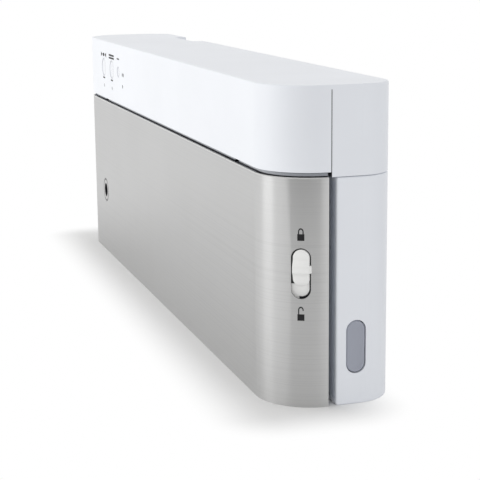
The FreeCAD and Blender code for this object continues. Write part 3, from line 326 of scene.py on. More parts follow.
def joined(name, pieces):
    """Several meshes as one piece."""
    clear_selection()
    for piece in pieces:
        piece.select_set(True)
    bpy.context.view_layer.objects.active = pieces[0]
    bpy.ops.object.join()
    return named(name)


def copied(name, piece):
    """A copy with its own mesh."""
    select_only(piece)
    bpy.ops.object.duplicate(linked=False)
    return named(name)


def repeated(name, piece, places):
    """Copies of a piece at (x, z) places, joined as one; the pattern is thrown away."""
    copies = []
    for x, z in places:
        copy = copied(name + "_copy", piece)
        copy.location = (x, 0, z)
        apply_place(copy)
        copies.append(copy)
    bpy.data.objects.remove(piece)
    return joined(name, copies)


def flipped(name, piece):
    """The same piece for the other end of the machine."""
    twin = copied(name, piece)
    twin.scale = (-1, 1, 1)
    apply_place(twin)
    into_edit(twin)
    select_mesh()
    bpy.ops.mesh.remove_doubles(threshold=MERGE_REACH)
    close_shape()
    shade(twin)
    return twin


def settle(piece, body, slot, finish, *nodes):
    """Give a piece its finish, its body and the nodes that it stands for."""
    apply_place(piece)
    piece.data.materials.clear()
    piece.data.materials.append(FINISHES[finish])
    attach(piece, body)
    if nodes:
        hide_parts(*nodes)


def dress(finish, *nodes):
    """Put a finish on carried-over nodes."""
    for node in nodes:
        slots = NODES[node].data.materials
        for index in range(len(slots)):
            slots[index] = FINISHES[finish]


# Finishes

NOISE_LOW = 0.3
NOISE_HIGH = 0.7


class Tree:
    """Node tree of a material or of the world, with short ways to add and join nodes."""

    def __init__(self, owner):
        owner.use_nodes = True
        self.nodes = owner.node_tree.nodes
        self.links = owner.node_tree.links

    def feed(self, socket, value):
        """Join a socket to another one, or set its value."""
        if isinstance(value, bpy.types.NodeSocket):
            self.links.new(value, socket)
        else:
            socket.default_value = value

    def add(self, kind, **inputs):
        """New node with its inputs by name."""
        node = self.nodes.new(kind)
        for label, value in inputs.items():
            self.feed(node.inputs[label.replace("_", " ")], value)
        return node

    def reckon(self, operation, *values):
        """Arithmetic on values."""
        node = self.nodes.new("ShaderNodeMath")
        node.operation = operation
        for socket, value in zip(node.inputs, values):
            self.feed(socket, value)
        return node.outputs[0]

    def vector_steps(self, found, *steps):
        """Arithmetic on a vector, one step after another."""
        for operation, other in steps:
            node = self.nodes.new("ShaderNodeVectorMath")
            node.operation = operation
            self.feed(node.inputs[0], found)
            if other:
                self.feed(node.inputs[1], other)
            found = node.outputs["Value" if operation == "LENGTH" else "Vector"]
        return found

    def choose(self, share, one, other):
        """Shader that goes from one to the other."""
        mix = self.add("ShaderNodeMixShader", Fac=share)
        self.links.new(one, mix.inputs[1])
        self.links.new(other, mix.inputs[2])
        return mix.outputs[0]


class Finish(Tree):
    """Node tree of one finish, on the piece's own coordinates."""

    def __init__(self, name):
        self.material = bpy.data.materials.new(name)
        super().__init__(self.material)
        self.shader = self.nodes["Principled BSDF"]
        self.place = self.add("ShaderNodeTexCoord").outputs["Object"]

    def give(self, **inputs):
        """Set or join inputs of the surface."""
        for label, value in inputs.items():
            self.feed(self.shader.inputs[label.replace("_", " ")], value)

    def noise(self, scale, detail, place=None):
        """Cloudy values, seldom outside NOISE_LOW to NOISE_HIGH."""
        at = place or self.place
        return self.add("ShaderNodeTexNoise", Vector=at, Scale=scale, Detail=detail).outputs["Fac"]

    def strokes(self, lines, detail):
        """Noise drawn out by a scale for each axis."""
        at = self.add("ShaderNodeMapping", Vector=self.place, Scale=lines).outputs[0]
        return self.noise(1.0, detail, at)

    def wave(self, direction, pitch, distortion=0.0):
        """Even bands across one axis."""
        node = self.add("ShaderNodeTexWave", Vector=self.place, Scale=pitch, Distortion=distortion)
        node.bands_direction = direction
        return node.outputs["Fac"]

    def between(self, value, low, high, start=0.0, end=1.0):
        """Map start to low and end to high."""
        node = self.add(
            "ShaderNodeMapRange", Value=value, From_Min=start, From_Max=end, To_Min=low, To_Max=high
        )
        return node.outputs["Result"]

    def tint(self, value, dark, light, start=NOISE_LOW, end=NOISE_HIGH):
        """Colour from dark at start to light at end."""
        ramp = self.add("ShaderNodeValToRGB", Fac=value)
        for element, position, colour in zip(ramp.color_ramp.elements, (start, end), (dark, light)):
            element.position = position
            element.color = (*colour, 1)
        return ramp.outputs["Color"]

    def bump(self, value, strength, distance):
        """Relief from a value."""
        node = self.add("ShaderNodeBump", Strength=strength, Distance=distance, Height=value)
        return node.outputs["Normal"]

    def surface(self, value, colour, dark, gloss, relief=None, start=NOISE_LOW, end=NOISE_HIGH):
        """Tone, gloss (from and to) and relief (strength and height) from one pattern."""
        self.give(Base_Color=self.tint(value, shaded(colour, dark), colour, start, end))
        self.give(Roughness=self.between(value, *gloss))
        if relief:
            self.give(Normal=self.bump(value, *relief))

    def along(self, axis):
        """One coordinate of the place."""
        return self.add("ShaderNodeSeparateXYZ", Vector=self.place).outputs[axis]

    def from_axis(self, centre, axis):
        """Distance from a line along one axis through a point, or through its twin at the other end."""
        across = [float(label != axis) for label in "XYZ"]
        mirrored_centre = [abs(value) for value in centre]
        return self.vector_steps(
            self.place,
            ("ABSOLUTE", None),
            ("SUBTRACT", mirrored_centre),
            ("MULTIPLY", across),
            ("LENGTH", None),
        )

    def darken(self, share, colour):
        """Painted shade: go over to a dark colour where a share is one."""
        base = self.shader.inputs["Base Color"]
        mix = self.add("ShaderNodeMixRGB", Fac=share, Color1=base.links[0].from_socket, Color2=(*colour, 1))
        self.links.new(mix.outputs[0], base)


def shaded(colour, ratio):
    """The colour, darker by a ratio."""
    return tuple(channel * ratio for channel in colour)


def painted_shade_in_seam(tree):
    """Painted shade inside the upright seam between cover and housing, under the top plate."""
    between = tree.reckon("COMPARE", tree.along("Y"), SEAM_Y, SEAM_HALF)
    return tree.reckon("MULTIPLY", between, tree.reckon("LESS_THAN", tree.along("Z"), PLATE_BOTTOM))


def painted_shade_in_groove(tree):
    """Painted shade low on the frame's lip, in the groove behind the panel's edge."""
    return tree.reckon("COMPARE", tree.along("Z"), GROOVE_Z, GROOVE_HALF)


def painted_shade_in_port(tree):
    """Painted shade inside the bore of the port, and along its rim."""
    radius = tree.from_axis(middle_of("accessory_port"), "Y")
    bore = tree.reckon("LESS_THAN", radius, PORT_BORE)
    rim = tree.reckon("COMPARE", radius, PORT_RIM, PORT_RIM_HALF)
    return tree.reckon("MAXIMUM", bore, tree.reckon("MULTIPLY", rim, PORT_RIM_SHADE))


def painted_shade_beside_knob(tree):
    """Painted shade down in the latch slot: along its edge behind the knob, and all in front of it above
    the ramp.
    """
    deep = tree.reckon("LESS_THAN", tree.from_axis(CORNER, "Z"), CORNER_RADIUS - SLOT_DEPTH)
    slot_middle = (LATCH_PLACE.x, -LATCH_PLACE.y, SLOT_Z)
    found = tree.vector_steps(tree.place, ("ABSOLUTE", None), ("SUBTRACT", slot_middle))
    found = tree.add("ShaderNodeMapping", Vector=found, Rotation=(0, 0, -LATCH_ANGLE)).outputs[0]
    local = tree.add("ShaderNodeSeparateXYZ", Vector=found).outputs
    in_front = tree.reckon("GREATER_THAN", local["Y"], KNOB_FRONT_PART)
    above_ramp = tree.reckon("GREATER_THAN", local["Z"], RAMP_TOP - SLOT_Z)
    from_middle = tree.vector_steps(
        found,
        ("MULTIPLY", (0, 1, 1)),
        ("ABSOLUTE", None),
        ("SUBTRACT", (0, 0, SLOT_REACH)),
        ("MAXIMUM", (0, 0, 0)),
        ("LENGTH", None),
    )
    at_edge = tree.reckon("GREATER_THAN", from_middle, KNOB_WIDTH / 2 - KNOB_SHIFT)
    behind = tree.reckon("SUBTRACT", at_edge, in_front)
    front = tree.reckon("MULTIPLY", in_front, above_ramp)
    return tree.reckon("MULTIPLY", deep, tree.reckon("MAXIMUM", behind, front))


def moulded(name, colour, roughness, grain, grain_size=1600, spread=0.03, hollow=None):
    """Moulded plastic: slow tone drift, fine mould grain, uneven gloss, and painted shade in hollows where
    asked.
    """
    tree = Finish(name)
    drift = tree.noise(scale=22, detail=2)
    grit = tree.noise(scale=grain_size, detail=2)
    tree.give(Base_Color=tree.tint(drift, shaded(colour, 1 - spread), colour))
    tree.give(Roughness=tree.between(grit, roughness - 0.05, roughness + 0.05, NOISE_LOW, NOISE_HIGH))
    tree.give(Normal=tree.bump(grit, strength=grain, distance=0.06 * MM))
    # Painted shade in the hollows that the mask finds
    if hollow:
        tree.darken(hollow(tree), SHADOW_TONE)
    return tree.material


def brushed(name, colour, roughness, lines, spread=0.1, stretch=0.0, rim=None):
    """Brushed metal: long fine lines in tone, gloss and relief, drawn-out highlights, and a painted
    highlight along the top rim, where the metal is made non-metallic.
    """
    tree = Finish(name)
    fine = tree.strokes(lines, detail=4)
    coarse = tree.strokes(shaded(lines, 0.3), detail=3)
    cloud = tree.noise(scale=14, detail=2)
    both = tree.reckon("ADD", fine, coarse)
    tree.give(Base_Color=tree.tint(both, shaded(colour, 1 - spread), colour, start=0.75, end=1.25))
    uneven = tree.between(cloud, roughness - 0.03, roughness + 0.03, NOISE_LOW, NOISE_HIGH)
    tree.give(Roughness=uneven, Metallic=1.0)
    tree.give(Normal=tree.bump(fine, strength=0.12, distance=0.03 * MM))
    round_about = tree.add("ShaderNodeTangent")
    round_about.direction_type = "RADIAL"
    round_about.axis = "Z"
    tree.give(Tangent=round_about.outputs[0], Anisotropic=stretch, Anisotropic_Rotation=0.25)
    # Painted highlight: above the rim the panel is not metallic and shows pale
    if rim:
        below_rim = tree.reckon("LESS_THAN", tree.along("Z"), rim)
        tree.give(Metallic=below_rim, Specular_Tint=(0.85, 0.85, 0.85, 1))
    return tree.material


def plated(name, colour, roughness):
    """Plated steel with faint drawing marks."""
    tree = Finish(name)
    marks = tree.noise(scale=600, detail=3)
    gloss = (roughness - 0.06, roughness + 0.08)
    tree.surface(marks, colour, dark=0.85, gloss=gloss, relief=(0.1, 0.03 * MM))
    tree.give(Metallic=1.0)
    return tree.material


def foamed(name, colour):
    """Closed cell foam: small round cells with dark pits."""
    tree = Finish(name)
    cells = tree.add("ShaderNodeTexVoronoi", Vector=tree.place, Scale=1500.0).outputs["Distance"]
    drift = tree.noise(scale=60, detail=3)
    tree.give(Base_Color=tree.tint(cells, shaded(colour, 0.45), colour, start=0.1, end=0.5))
    tree.give(Roughness=tree.between(drift, 0.82, 0.95), Specular_IOR_Level=0.25)
    tree.give(Normal=tree.bump(cells, strength=0.5, distance=0.15 * MM))
    return tree.material


def rubbery(name, colour, roughness):
    """Soft rubber with a dusty bloom."""
    tree = Finish(name)
    bloom = tree.noise(scale=90, detail=4)
    grit = tree.noise(scale=2600, detail=2)
    tree.give(Base_Color=tree.tint(bloom, shaded(colour, 0.8), colour))
    tree.give(Roughness=tree.between(bloom, roughness - 0.06, roughness + 0.06))
    tree.give(Normal=tree.bump(grit, strength=0.15, distance=0.06 * MM), Specular_IOR_Level=0.3)
    return tree.material


def woven(name, colour, pitch):
    """Coated glass cloth: fine plain weave under a thin skin."""
    tree = Finish(name)
    cross = tree.reckon("MULTIPLY", tree.wave("X", pitch), tree.wave("Z", pitch))
    tree.surface(cross, colour, dark=0.7, gloss=(0.38, 0.52), relief=(0.3, 0.08 * MM), start=0.1, end=0.8)
    return tree.material


def banded(name, colour, direction, pitch, roughness, metallic):
    """Stacked sheets or wound wire: regular fine bands."""
    tree = Finish(name)
    bands = tree.wave(direction, pitch, distortion=0.4)
    gloss = (roughness + 0.15, roughness)
    tree.surface(bands, colour, dark=0.5, gloss=gloss, relief=(0.4, 0.2 * MM), start=0.05, end=0.6)
    tree.give(Metallic=metallic)
    return tree.material


def clear_plastic(name, colour):
    """Tinted light pipe with a satin front."""
    tree = Finish(name)
    haze = tree.noise(scale=900, detail=2)
    tree.surface(haze, colour, dark=0.9, gloss=(0.18, 0.3))
    tree.give(Transmission_Weight=0.6, IOR=1.49)
    return tree.material


def printed(name, colour):
    """Screen printed ink: slightly uneven film."""
    tree = Finish(name)
    film = tree.noise(scale=700, detail=3)
    tree.surface(film, colour, dark=0.8, gloss=(0.48, 0.62))
    tree.give(Specular_IOR_Level=0.35)
    return tree.material


FINISHES = {}


def make_finishes(colours):
    """All finishes, from the colours on the panel and those of the inner pieces."""
    lid_lines = (3, 3, 4200)
    ribbon_lines = (6, 1800, 1800)
    made = {
        # Casing, frame, port and slide finishes carry painted shade in their hollows
        "casing": moulded("white_casing", colours.casing, roughness=0.36, grain=0.05, hollow=painted_shade_in_seam),
        "deck": moulded("grey_deck", colours.deck, roughness=0.5, grain=0.3),
        # The lid carries a painted highlight along its top rim
        "lid": brushed("brushed_lid", colours.lid, 0.32, lid_lines, spread=0.06, stretch=0.75, rim=LID_RIM),
        "frame": moulded("grey_frame", colours.frame, roughness=0.5, grain=0.3, hollow=painted_shade_in_groove),
        "port": moulded("port_ring", colours.port, roughness=0.4, grain=0.15, hollow=painted_shade_in_port),
        "latch": moulded("white_slide", colours.latch, roughness=0.34, grain=0.08, hollow=painted_shade_beside_knob),
        "release": moulded("grey_button", colours.release, roughness=0.42, grain=0.2),
        "key": moulded("white_key", shaded(colours.casing, 0.97), roughness=0.3, grain=0.05),
        "lens": clear_plastic("light_pipe", (0.75, 0.8, 0.82)),
        "ink": printed("panel_ink", colours.ink),
        "pale_ink": printed("pale_ink", colours.pale_ink),
        "foam": foamed("gasket_foam", colours.foam),
        "silicone": rubbery("soft_silicone", (0.62, 0.6, 0.56), roughness=0.5),
        "hose": rubbery("hose_silicone", (0.72, 0.7, 0.66), roughness=0.4),
        "rubber": rubbery("black_rubber", (0.03, 0.03, 0.032), roughness=0.7),
        "steel": plated("zinc_steel", (0.6, 0.6, 0.61), roughness=0.32),
        "bar": moulded("seal_bar_phenolic", (0.16, 0.13, 0.11), roughness=0.55, grain=0.3),
        "ribbon": brushed("heating_ribbon", (0.66, 0.62, 0.58), 0.3, ribbon_lines),
        "tape": woven("glass_tape", (0.48, 0.34, 0.21), pitch=420.0),
        "arm": moulded("hinge_nylon", (0.25, 0.26, 0.28), roughness=0.52, grain=0.4),
        "pump": moulded("pump_black", (0.08, 0.08, 0.09), roughness=0.5, grain=0.4),
        "motor": plated("motor_can", (0.55, 0.56, 0.57), roughness=0.35),
        "core": banded("core_sheets", (0.24, 0.23, 0.22), "Y", 320.0, roughness=0.5, metallic=0.7),
        "winding": banded("copper_winding", (0.72, 0.42, 0.22), "Z", 300.0, roughness=0.3, metallic=0.8),
        "board": moulded("solder_mask", (0.06, 0.27, 0.13), 0.35, grain=0.2, grain_size=500, spread=0.3),
        "switch": moulded("switch_black", (0.06, 0.06, 0.06), roughness=0.5, grain=0.3),
        "lamp": clear_plastic("lamp_epoxy", (0.8, 0.84, 0.8)),
    }
    FINISHES.update(made)


# Settings


class SEALER_PG_colours(bpy.types.PropertyGroup):
    """Colours of the outer pieces"""

    casing: FloatVectorProperty(
        name="Casing", description="White of the casings", subtype="COLOR", default=(0.86, 0.885, 0.935)
    )
    lid: FloatVectorProperty(
        name="Lid", description="Metal of the lid panel", subtype="COLOR", default=(0.6, 0.6, 0.597)
    )
    deck: FloatVectorProperty(
        name="Deck", description="Grey of the working deck", subtype="COLOR", default=(0.82, 0.87, 0.95)
    )
    frame: FloatVectorProperty(
        name="Lid frame", description="Grey of the lid's tray", subtype="COLOR", default=(0.5, 0.52, 0.56)
    )
    port: FloatVectorProperty(
        name="Port", description="Ring of the accessory port", subtype="COLOR", default=(0.5, 0.5, 0.5)
    )
    latch: FloatVectorProperty(
        name="Latch", description="White of the latch slides", subtype="COLOR", default=(0.93, 0.93, 0.92)
    )
    release: FloatVectorProperty(
        name="Release", description="Grey of the buttons", subtype="COLOR", default=(0.375, 0.395, 0.46)
    )
    ink: FloatVectorProperty(
        name="Ink", description="Ink of the symbols", subtype="COLOR", default=(0.012, 0.012, 0.014)
    )
    pale_ink: FloatVectorProperty(
        name="Pale ink", description="Ink of the key rings", subtype="COLOR", default=(0.6, 0.61, 0.63)
    )
    foam: FloatVectorProperty(
        name="Foam", description="Foam of the gaskets", subtype="COLOR", default=(0.1, 0.1, 0.11)
    )


class SEALER_PG_details(bpy.types.PropertyGroup):
    """Sizes of the small pieces"""

    knob_round: FloatProperty(
        name="Knob rounding", description="Edges of the latch knob", unit="LENGTH", default=0.45 * MM
    )
    button_round: FloatProperty(
        name="Button rounding", description="Edges of the release button", unit="LENGTH", default=0.7 * MM
    )
    key_dish: FloatProperty(
        name="Key dish", description="Depth of the hollow in a key", unit="LENGTH", default=0.25 * MM
    )
    foam_round: FloatProperty(
        name="Foam rounding", description="Edges of the gaskets", unit="LENGTH", default=0.8 * MM
    )
    ink_height: FloatProperty(
        name="Ink height", description="Thickness of the symbols", unit="LENGTH", default=0.02 * MM
    )


class SEALER_PG_stage(bpy.types.PropertyGroup):
    """Camera, light and floor"""

    camera_place: FloatVectorProperty(
        name="Camera", description="Its place", subtype="TRANSLATION", default=(0.7611, -0.2151, 0.2017)
    )
    yaw: FloatProperty(
        name="Yaw", description="Heading of the camera", subtype="ANGLE", default=math.radians(17.1)
    )
    pitch: FloatProperty(
        name="Pitch", description="Tilt below the horizon", subtype="ANGLE", default=math.radians(11.88)
    )
    roll: FloatProperty(
        name="Roll", description="Roll of the camera", subtype="ANGLE", default=math.radians(-0.6176)
    )
    lens: FloatProperty(name="Lens", description="Focal length in millimetres", default=101.84)
    key_power: FloatProperty(name="Key", description="Power of the front light", unit="POWER", default=11.5)
    edge_power: FloatProperty(
        name="Edge", description="Power of the light in the lid", unit="POWER", default=2.3
    )
    sky: FloatProperty(name="Sky", description="Level of the light all round", default=0.765)
    floor_bounce: FloatProperty(
        name="Floor bounce", description="Tone of the floor for other pieces", default=1.0
    )
    # Tones and reaches of the floor near the foot, which give it partly painted shade
    mirror_tone: FloatProperty(
        name="Mirror tone", description="Mirrored tone of the floor at the foot", default=0.97
    )
    mirror_reach: FloatProperty(
        name="Mirror reach", description="Distance to the mirrored white", unit="LENGTH", default=0.2
    )
    floor_tone: FloatProperty(name="Floor", description="Tone of the floor beside the machine", default=0.9)
    shadow_reach: FloatProperty(
        name="Shadow reach", description="Width of the shadow round the foot", unit="LENGTH", default=0.035
    )
    card_place: FloatVectorProperty(
        name="Card", description="Middle of the card", subtype="TRANSLATION", default=(0.828, -0.328, 0.25)
    )
    card_width: FloatProperty(
        name="Card width", description="Width of the dark card", unit="LENGTH", default=1.07
    )


# Casing, lid and inner nodes


class SEALER_OT_casing(bpy.types.Operator):
    """Make all finishes, and put theirs on the casings, the deck, the hinge arms and the cord inlet"""

    bl_idname = "sealer.casing"
    bl_label = "Casing"

    def execute(self, context):
        make_finishes(context.scene.sealer_colours)
        dress("casing", "base_shell", "rear_housing", "control_cover", "cord_tray")
        dress("deck", "deck_plate")
        dress("arm", "hinge_arm_left", "hinge_arm_right")
        dress("rubber", "cord_grommet")
        return {"FINISHED"}


class SEALER_OT_lid(bpy.types.Operator):
    """Finish the brushed lid panel, its frame, the port and the hinge pins"""

    bl_idname = "sealer.lid"
    bl_label = "Lid"

    def execute(self, context):
        dress("lid", "lid_panel")
        dress("frame", "lid_frame")
        dress("port", "accessory_port")
        dress("steel", "hinge_pin_left", "hinge_pin_right")
        return {"FINISHED"}


class SEALER_OT_workings(bpy.types.Operator):
    """Finish the seal bar, the air path and the electrical pieces"""

    bl_idname = "sealer.workings"
    bl_label = "Workings"

    def execute(self, context):
        dress("bar", "seal_bar")
        dress("ribbon", "heating_element")
        dress("tape", "ptfe_tape")
        dress("pump", "trough_nipple", "vacuum_pump")
        dress("hose", "vacuum_hose")
        dress("motor", "pump_motor")
        dress("core", "transformer_core")
        dress("winding", "transformer_coil")
        dress("board", "control_board")
        dress("switch", "tact_switches")
        dress("lamp", "indicator_leds")
        dress("lens", "indicator_lenses")
        return {"FINISHED"}


# Lip of the lid frame

LIP_FRONT = 2.4 * MM
LIP_BACK = 3.4 * MM
LIP_RISE = 2.3 * MM
LIP_ROUND = 0.2 * MM
LIP_END = LID_HIGH.y + 0.4 * MM
ARM_X = 150 * MM
ARM_ROOM = 3.3 * MM


def lid_line(inset, start, steps=12):
    """Points along the lid's outline at an inset, from the front round the right corner."""
    reach = CORNER_RADIUS - inset
    points = [(start, LID_FACE + inset)]
    for step in range(steps + 1):
        angle = math.radians(-90 + 90 * step / steps)
        points.append((CORNER.x + reach * math.cos(angle), CORNER.y + reach * math.sin(angle)))
    points.append((CORNER.x + reach, LIP_END))
    return points


class SEALER_OT_lid_lip(bpy.types.Operator):
    """Upper lip of the lid frame, with room for the hinge arms"""

    bl_idname = "sealer.lid_lip"
    bl_label = "Lid lip"

    def execute(self, context):
        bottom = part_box("lid_frame")[1].z
        near_arm = ARM_X - ARM_ROOM
        low = (-near_arm, LID_FACE + LIP_FRONT, bottom)
        high = (near_arm, LID_FACE + LIP_BACK, bottom + LIP_RISE)
        front = block("lip_front", low, high)
        past_arm = ARM_X + ARM_ROOM
        line = lid_line(LIP_FRONT, past_arm) + lid_line(LIP_BACK, past_arm)[::-1]
        right = drawn("lip_right", [(x, y, bottom) for x, y in line], (0, 0, LIP_RISE))
        left = flipped("lip_left", right)
        piece = joined("lid_lip", [front, right, left])
        round_edges(piece, LIP_ROUND, segments=2)
        settle(piece, "lid", "frame_plastic", "frame")
        return {"FINISHED"}


# Latch slides: the knob's side view is in millimetres out of the lid's face and up

KNOB_PROFILE = (
    (0.15, 73.3), (0.36, 72.8), (0.40, 72.1), (0.32, 71.1), (0.12, 70.2), (0.02, 69.4), (0.14, 68.7),
    (0.55, 67.9), (1.20, 67.2), (1.85, 66.65), (2.28, 66.1), (2.46, 65.4), (2.50, 64.6), (2.48, 63.7),
    (2.36, 63.1), (2.02, 62.7), (1.40, 62.3), (0.75, 61.6), (0.25, 60.4), (-0.20, 59.0), (-0.75, 57.6),
    (-1.40, 56.5), (-1.50, 56.3), (-2.60, 56.3), (-2.60, 73.3),
)
KNOB_STOCK = 12 * MM
PLATE = (mm(-3.1, -5.8, 47.9), mm(-1.9, 5.8, 79.9))
PLATE_ROUND = 0.3 * MM
GRIP = (mm(0.6, 3.2, 62.9), mm(1.9, 5.0, 66.4))
TONGUE = (mm(188, -17, 54), mm(192, 3, 62))
TONGUE_FOOT = -13 * MM
TONGUE_REACH = 12.5 * MM
TONGUE_ROUND = 0.4 * MM


def latch_slide(rounding):
    """Knob, plate and grip, turned onto the lid's corner."""
    front = KNOB_SHIFT - KNOB_WIDTH / 2
    points = [(x * MM, front, z * MM) for x, z in KNOB_PROFILE]
    knob = drawn("knob", points, (0, KNOB_WIDTH, 0))
    stock = oblong("knob_stock", KNOB_LENGTH, KNOB_WIDTH, KNOB_STOCK, "X", (0, KNOB_SHIFT, KNOB_Z))
    carve(knob, stock, "INTERSECT")
    round_edges(knob, rounding)
    plate = block("plate", *PLATE)
    round_edges(plate, PLATE_ROUND)
    grip = block("grip", *GRIP)
    round_edges(grip, rounding)
    slide = joined("slide", [knob, plate, grip])
    slide.rotation_euler.z = -LATCH_ANGLE
    slide.location = LATCH_PLACE
    apply_place(slide)
    return slide


def latch_tongue():
    """Tongue that reaches from the slide into the base."""
    tongue = block("tongue", *TONGUE)
    into_edit(tongue)
    select_mesh()
    bpy.ops.mesh.bisect(plane_co=(0, TONGUE_FOOT, 0), plane_no=(0, 1, 0))
    pick(tongue, "FACE", lambda f: f.normal.x > FACING and f.calc_center_median().y < TONGUE_FOOT)
    pull((TONGUE_REACH, 0, 0))
    out_of_edit()
    round_edges(tongue, TONGUE_ROUND)
    return tongue


class SEALER_OT_latch_slides(bpy.types.Operator):
    """Thumb slides on the lid's round corners"""

    bl_idname = "sealer.latch_slides"
    bl_label = "Latch slides"

    def execute(self, context):
        slide = latch_slide(context.scene.sealer_details.knob_round)
        right = joined("latch_thumb_right", [slide, latch_tongue()])
        shade(right)
        left = flipped("latch_thumb_left", right)
        for side, piece in (("right", right), ("left", left)):
            settle(piece, "latch_" + side, "latch_plastic", "latch", "latch_slider_" + side)
        return {"FINISHED"}


# Release buttons

BUTTON_LENGTH = 24.4 * MM
BUTTON_WIDTH = 9 * MM
BUTTON_DEPTH = 3.6 * MM
BUTTON_EDGE = 0.9 * MM
BUTTON_DISH = (mm(0.5, 0.25), mm(0.7, 0.3), mm(0.9, 0.2), mm(0.9, 0.05))
FLANGE_LENGTH = 28 * MM
FLANGE_WIDTH = 12.6 * MM
FLANGE_DEPTH = 1.4 * MM
FLANGE_SETBACK = 3.4 * MM
FLANGE_ROUND = 0.2 * MM
STEM_STEPS = ((1.0, 0), (2.8, 0), (2.8, 12), (1.0, 12))


class SEALER_OT_release_buttons(bpy.types.Operator):
    """Oval release buttons in the ends of the base"""

    bl_idname = "sealer.release_buttons"
    bl_label = "Release buttons"

    def execute(self, context):
        rounding = context.scene.sealer_details.button_round
        low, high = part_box("release_button_right")
        middle = middle_of("release_button_right")
        pad_place = (high.x - BUTTON_DEPTH / 2, middle.y, middle.z)
        pad = oblong("pad", BUTTON_LENGTH, BUTTON_WIDTH, BUTTON_DEPTH, "X", pad_place)
        into_edit(pad)
        pick(pad, "FACE", lambda f: f.normal.x > FACING)
        bpy.ops.mesh.inset(thickness=BUTTON_EDGE)
        for width, drop in BUTTON_DISH:
            bpy.ops.mesh.inset(thickness=width)
            bpy.ops.transform.translate(value=(-drop, 0, 0))
        out_of_edit()
        round_edges(pad, rounding, segments=4, angle=50)
        flange_place = (high.x - FLANGE_SETBACK, middle.y, middle.z)
        flange = oblong("flange", FLANGE_LENGTH, FLANGE_WIDTH, FLANGE_DEPTH, "X", flange_place)
        round_edges(flange, FLANGE_ROUND, segments=2)
        stem = turned("stem", rings(0, STEM_STEPS))
        stem.rotation_euler.z = -math.pi / 2
        stem.location = (low.x, middle.y, middle.z)
        apply_place(stem)
        right = joined("release_pad_right", [pad, flange, stem])
        shade(right)
        left = flipped("release_pad_left", right)
        for side, piece in (("right", right), ("left", left)):
            settle(piece, "release_" + side, "release_plastic", "release", "release_button_" + side)
        return {"FINISHED"}


# Release springs

SPRING_TURNS = 5
SPRING_WIRE = 0.4 * MM
WIRE_SIDES = 10
STEPS_A_TURN = 28


class SEALER_OT_release_springs(bpy.types.Operator):
    """Coil springs behind the release buttons"""

    bl_idname = "sealer.release_springs"
    bl_label = "Release springs"

    def execute(self, context):
        low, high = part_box("release_spring_right")
        middle = middle_of("release_spring_right")
        start = ((high.z - low.z) / 2 - SPRING_WIRE, 0, 0)
        pitch = (high.x - low.x - 2 * SPRING_WIRE) / SPRING_TURNS
        turn = (math.pi / 2, 0, 0)
        clear_selection()
        bpy.ops.mesh.primitive_circle_add(
            vertices=WIRE_SIDES, radius=SPRING_WIRE, location=start, rotation=turn
        )
        right = named("release_coil_right")
        apply_place(right)
        modify(
            right,
            "SCREW",
            iterations=SPRING_TURNS,
            screw_offset=pitch,
            steps=STEPS_A_TURN,
            render_steps=STEPS_A_TURN,
        )
        into_edit(right)
        select_mesh()
        bpy.ops.mesh.fill_holes(sides=0)
        close_shape()
        right.rotation_euler.y = math.pi / 2
        right.location = (low.x + SPRING_WIRE, middle.y, middle.z)
        apply_place(right)
        shade(right)
        left = flipped("release_coil_left", right)
        for side, sign, piece in (("right", 1, right), ("left", -1, left)):
            settle(piece, "housing", "steel", "steel", "release_spring_" + side)
            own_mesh(piece)
        return {"FINISHED"}


# Keys: the middle's place along the panel and the radius of each

KEYS = {"vacuum": mm(-147.5, 5.5), "seal": mm(-122.5, 5.5), "mode": mm(-102, 3)}
KEY_Z = 128.3 * MM
KEY_FRONT = LID_FACE + 0.1 * MM
KEY_FLANGE = 1.1 * MM
KEY_STEM = 1.5 * MM
KEY_STEM_TIP = 0.6 * MM
KEY_FLANGE_FRONT = KEY_FRONT + 2.5 * MM
KEY_FLANGE_BACK = KEY_FRONT + 3.5 * MM
KEY_BACK = KEY_FRONT + 5.2 * MM


def key_section(rim, dish):
    """Half section of a key: dished cap with a round edge, flange and stem."""
    return [
        (0.3 * rim, KEY_FRONT + dish),
        (0.62 * rim, KEY_FRONT + 0.8 * dish),
        (0.82 * rim, KEY_FRONT + 0.25 * dish),
        (rim - 0.5 * MM, KEY_FRONT),
        (rim - 0.2 * MM, KEY_FRONT + 0.08 * MM),
        (rim, KEY_FRONT + 0.35 * MM),
        (rim, KEY_FLANGE_FRONT),
        (rim + KEY_FLANGE, KEY_FLANGE_FRONT),
        (rim + KEY_FLANGE, KEY_FLANGE_BACK),
        (KEY_STEM, KEY_FLANGE_BACK),
        (KEY_STEM, KEY_BACK),
        (KEY_STEM_TIP, KEY_BACK),
    ]


class SEALER_OT_press_keys(bpy.types.Operator):
    """Round keys of the control panel"""

    bl_idname = "sealer.press_keys"
    bl_label = "Keys"

    def execute(self, context):
        dish = context.scene.sealer_details.key_dish
        for key, (x, radius) in KEYS.items():
            cap = turned(key + "_cap", key_section(radius, dish), (x, 0, KEY_Z))
            shade(cap)
            settle(cap, key + "_key", "key_plastic", "key", key + "_button")
        return {"FINISHED"}


# Printed symbols on the panel: outlines are in millimetres

LABEL_Z, DROP_Z, DASH_Z, LOW_DROP_Z = mm(136.6, 127.2, 121.2, 119.8)
ARROW_STEP = 6 * MM
LINE_STEP = 0.9 * MM
DROP_STEPS = mm(12, 15)
OUTLINE_GAP = 0.55 * MM
OUTLINE_WIDTH = 0.28 * MM
OUTLINE_SIDES = 48
ARROW = ((-2.2, -1.6), (2.2, 0.0), (-2.2, 1.6))
BACK_ARROW = tuple((-u, v) for u, v in ARROW)


def bar_points(width, height):
    """Round-ended bar, centred."""
    radius = height / 2
    reach = width / 2 - radius
    points = []
    for side in (1, -1):
        for step in range(7):
            angle = math.radians(-90 + 30 * step)
            points.append((side * (reach + radius * math.cos(angle)), side * radius * math.sin(angle)))
    return points


